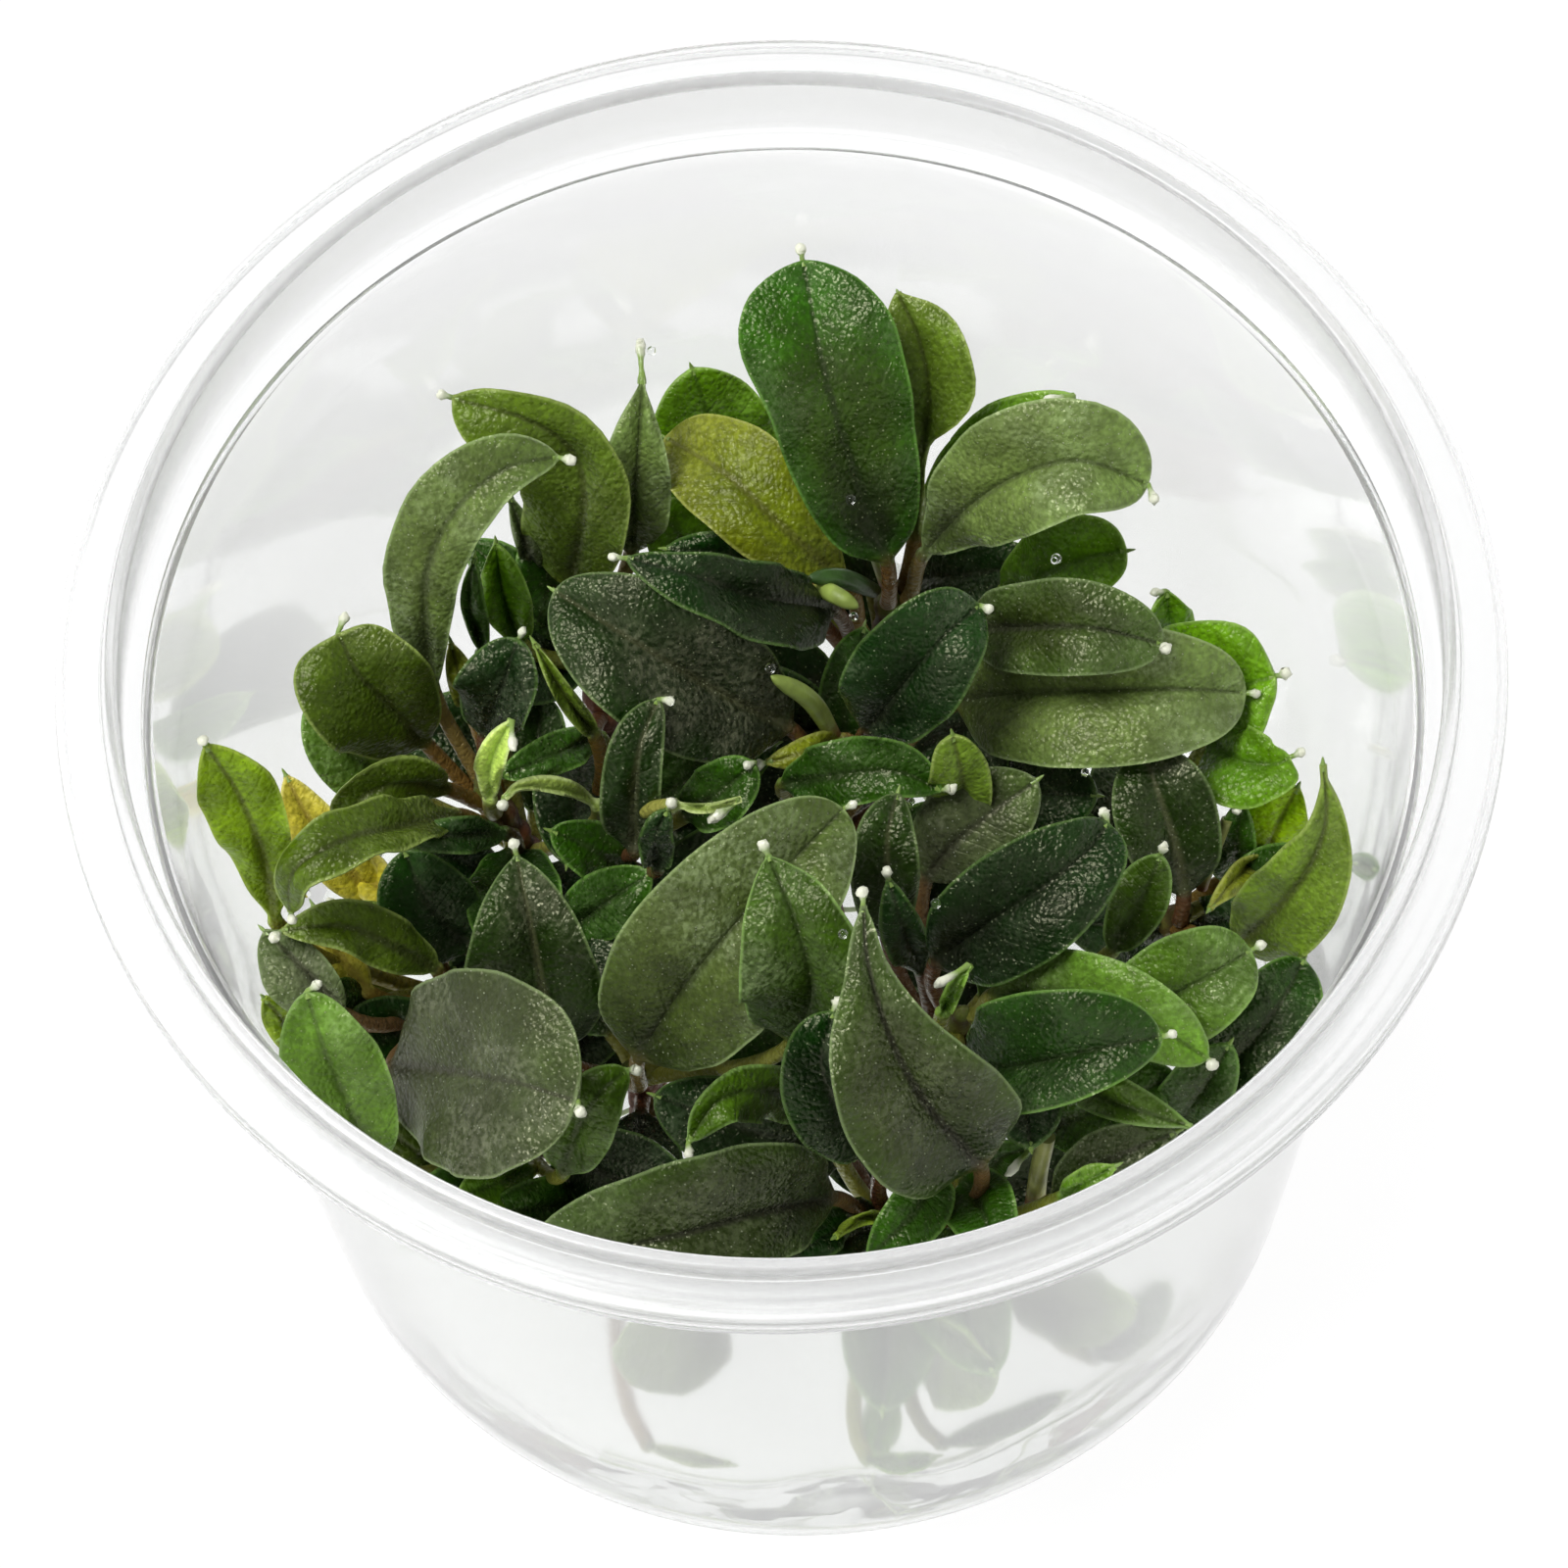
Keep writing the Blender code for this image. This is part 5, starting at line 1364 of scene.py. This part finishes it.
# Young leaves still rolled up, and bare stalks: radius at the widest, then readings from foot to top
spears = {
    "pale": {
        "slot": "leaf_speckled",
        "colours": ((122, 74, 44), (146, 166, 78)),
        "all": (
            (0.85, (905, 596, 33), (893, 552, 40), (868, 508, 46)),
            (0.75, (833, 598, 39), (852, 607, 41), (876, 620, 41)),
            (0.8, (852, 752, 34), (826, 714, 40), (787, 690, 44)))},
    "dark": {
        "slot": "leaf_speckled",
        "colours": ((60, 66, 34), (58, 88, 40)),
        "all": ((0.8, (893, 603, 36), (858, 590, 40), (824, 590, 42)),)},
    "stalk": {
        "slot": "rhizome",
        "colours": ((132, 78, 44), (154, 158, 92)),
        "all": (
            (0.75, (1056, 1228, 30), (1060, 1195, 35), (1068, 1160, 39)),
            (0.75, (930, 1238, 29), (922, 1210, 34), (911, 1180, 38)),
            (0.5, (1226, 905, 29), (1238, 872, 33), (1252, 836, 36)))},
}
spearLook = {
    "stations": 24,
    "sides": 20,
    "closing": 0.75,  # where along it a rolled leaf starts to narrow to its point
    "lap": (0.22, 0.28),  # depth and width of the free edge of the roll
    "lapTurn": (2.4, 1.6),  # where round it the edge starts, and how far it winds
    "turn": (0.0, 0.35),
    "noise": (600.0, 3.0),
    "wander": 0.3,
    "light": (0.75, 1.2),
    "grain": 0.35,
    "bump": (0.4, 0.0001),
    "rough": (0.32, 0.48),
}


def makeSpears():
    share, closed = shares(spearLook["stations"]), spearLook["closing"]
    (lapDepth, lapWidth), (lapStart, lapWind) = spearLook["lap"], spearLook["lapTurn"]
    angles = turns(spearLook["sides"])
    for name, kind in spears.items():
        shapes = Gathered()
        for radius, *path in kind["all"]:
            line = smoothLine([placeOf(reading) for reading in path], share)
            if name == "stalk":
                rings = tubeRings(line, radius * (0.9 + 0.15 * (1 - share)), spearLook["sides"])
            else:
                closing = np.sqrt(np.clip(1 - ((share - closed) / (1 - closed)) ** 2, 0.02, 1))
                swell = 0.72 + 0.28 * np.sin(np.pi * share)
                radii = radius * swell * np.where(share > closed, closing, 1.0)
                rings = tubeRings(line, radii, spearLook["sides"])
                for ring, centre, amount in zip(rings, line, share):
                    lap = np.exp(-((angles - lapStart - lapWind * amount) / lapWidth) ** 2)
                    ring -= (ring - centre) * (lapDepth * lap)[:, None]
            shapes.add(rings, along=share)
        material = stalkMaterial("spear" + name, {**spearLook, "colours": kind["colours"]})
        shapes.piece("spears_" + name, material, kind["slot"])


makeSpears()
print("spears made")


# Roots, thin and pale, which run down from the rhizomes and round the foot of the cup

roots = {
    "radius": 0.26,
    "sides": 7,
    "taper": 0.55,
    "perStem": 4,
    "spread": (4, 11),  # least and most distance from the foot of its rhizome
    "wiggle": 0.35,
    "stations": 20,
    "colour": (168, 182, 140),
    "floorGap": 0.5,
    "wallGap": 2.6,
    # the long ones seen along the foot of the cup: the angles where each starts and stops,
    # its height and how far it is from the wall
    "long": ((-118, -58, 2.0, 1.2), (-82, -38, 3.0, 1.6), (-60, -30, 7.0, 1.3)),
    "longStations": 40,
}


def makeRoots():
    shapes = Gathered()
    count = roots["stations"]
    for name in stems:
        chance = seeded("root" + name)
        foot = stemLine(name, 5)[0]
        for strand in range(roots["perStem"]):
            angle = 2 * np.pi * (strand + chance.uniform(0, 0.8)) / roots["perStem"]
            out = np.array([np.cos(angle), np.sin(angle), 0])
            far = chance.uniform(*roots["spread"])
            low = cup["floorThick"] + roots["floorGap"] + chance.uniform(0, 3)
            end = foot + out * far
            end[:2] *= min(1, (wallRadius(low) - roots["wallGap"]) / np.hypot(end[0], end[1]))
            line = smoothLine([
                foot + [0, 0, 1], foot + out * 1.2 - [0, 0, 1.5], foot + out * far * 0.6 - [0, 0, 6],
                np.array([end[0], end[1], low])], shares(count))
            wiggle = roots["wiggle"] * np.sin(np.linspace(0, 9, count) + chance.uniform(0, 6))
            line += np.outer(wiggle, np.cross(out, [0, 0, 1]))
            radii = roots["radius"] * np.linspace(1, roots["taper"], count)
            shapes.add(tubeRings(line, radii, roots["sides"]), along=shares(count))
    count = roots["longStations"]
    for start, stop, height, depth in roots["long"]:
        angles = np.radians(np.linspace(start, stop, count))
        radius = wallRadius(height) - cup["wallThick"] - depth
        rise = height + (0.5 * np.sin(np.linspace(0, 8, count)) + 0.5)
        line = np.stack([radius * np.cos(angles), radius * np.sin(angles), rise], axis=1)
        shapes.add(tubeRings(line, np.full(count, roots["radius"]), roots["sides"]), along=shares(count))
    material, tree, shader = newMaterial("rootSkin")
    noise = noiseIn(tree, 400.0, 3.0)
    feed(tree, shader.inputs, {
        "Base Color": toned(tree, seen(roots["colour"]), noise, 0.75, 1.25),
        "Roughness": ramp(tree, noise, 0.3, 0.7, 0.35, 0.6)})
    shapes.piece("roots", material, "rhizome")


makeRoots()
print("roots made")
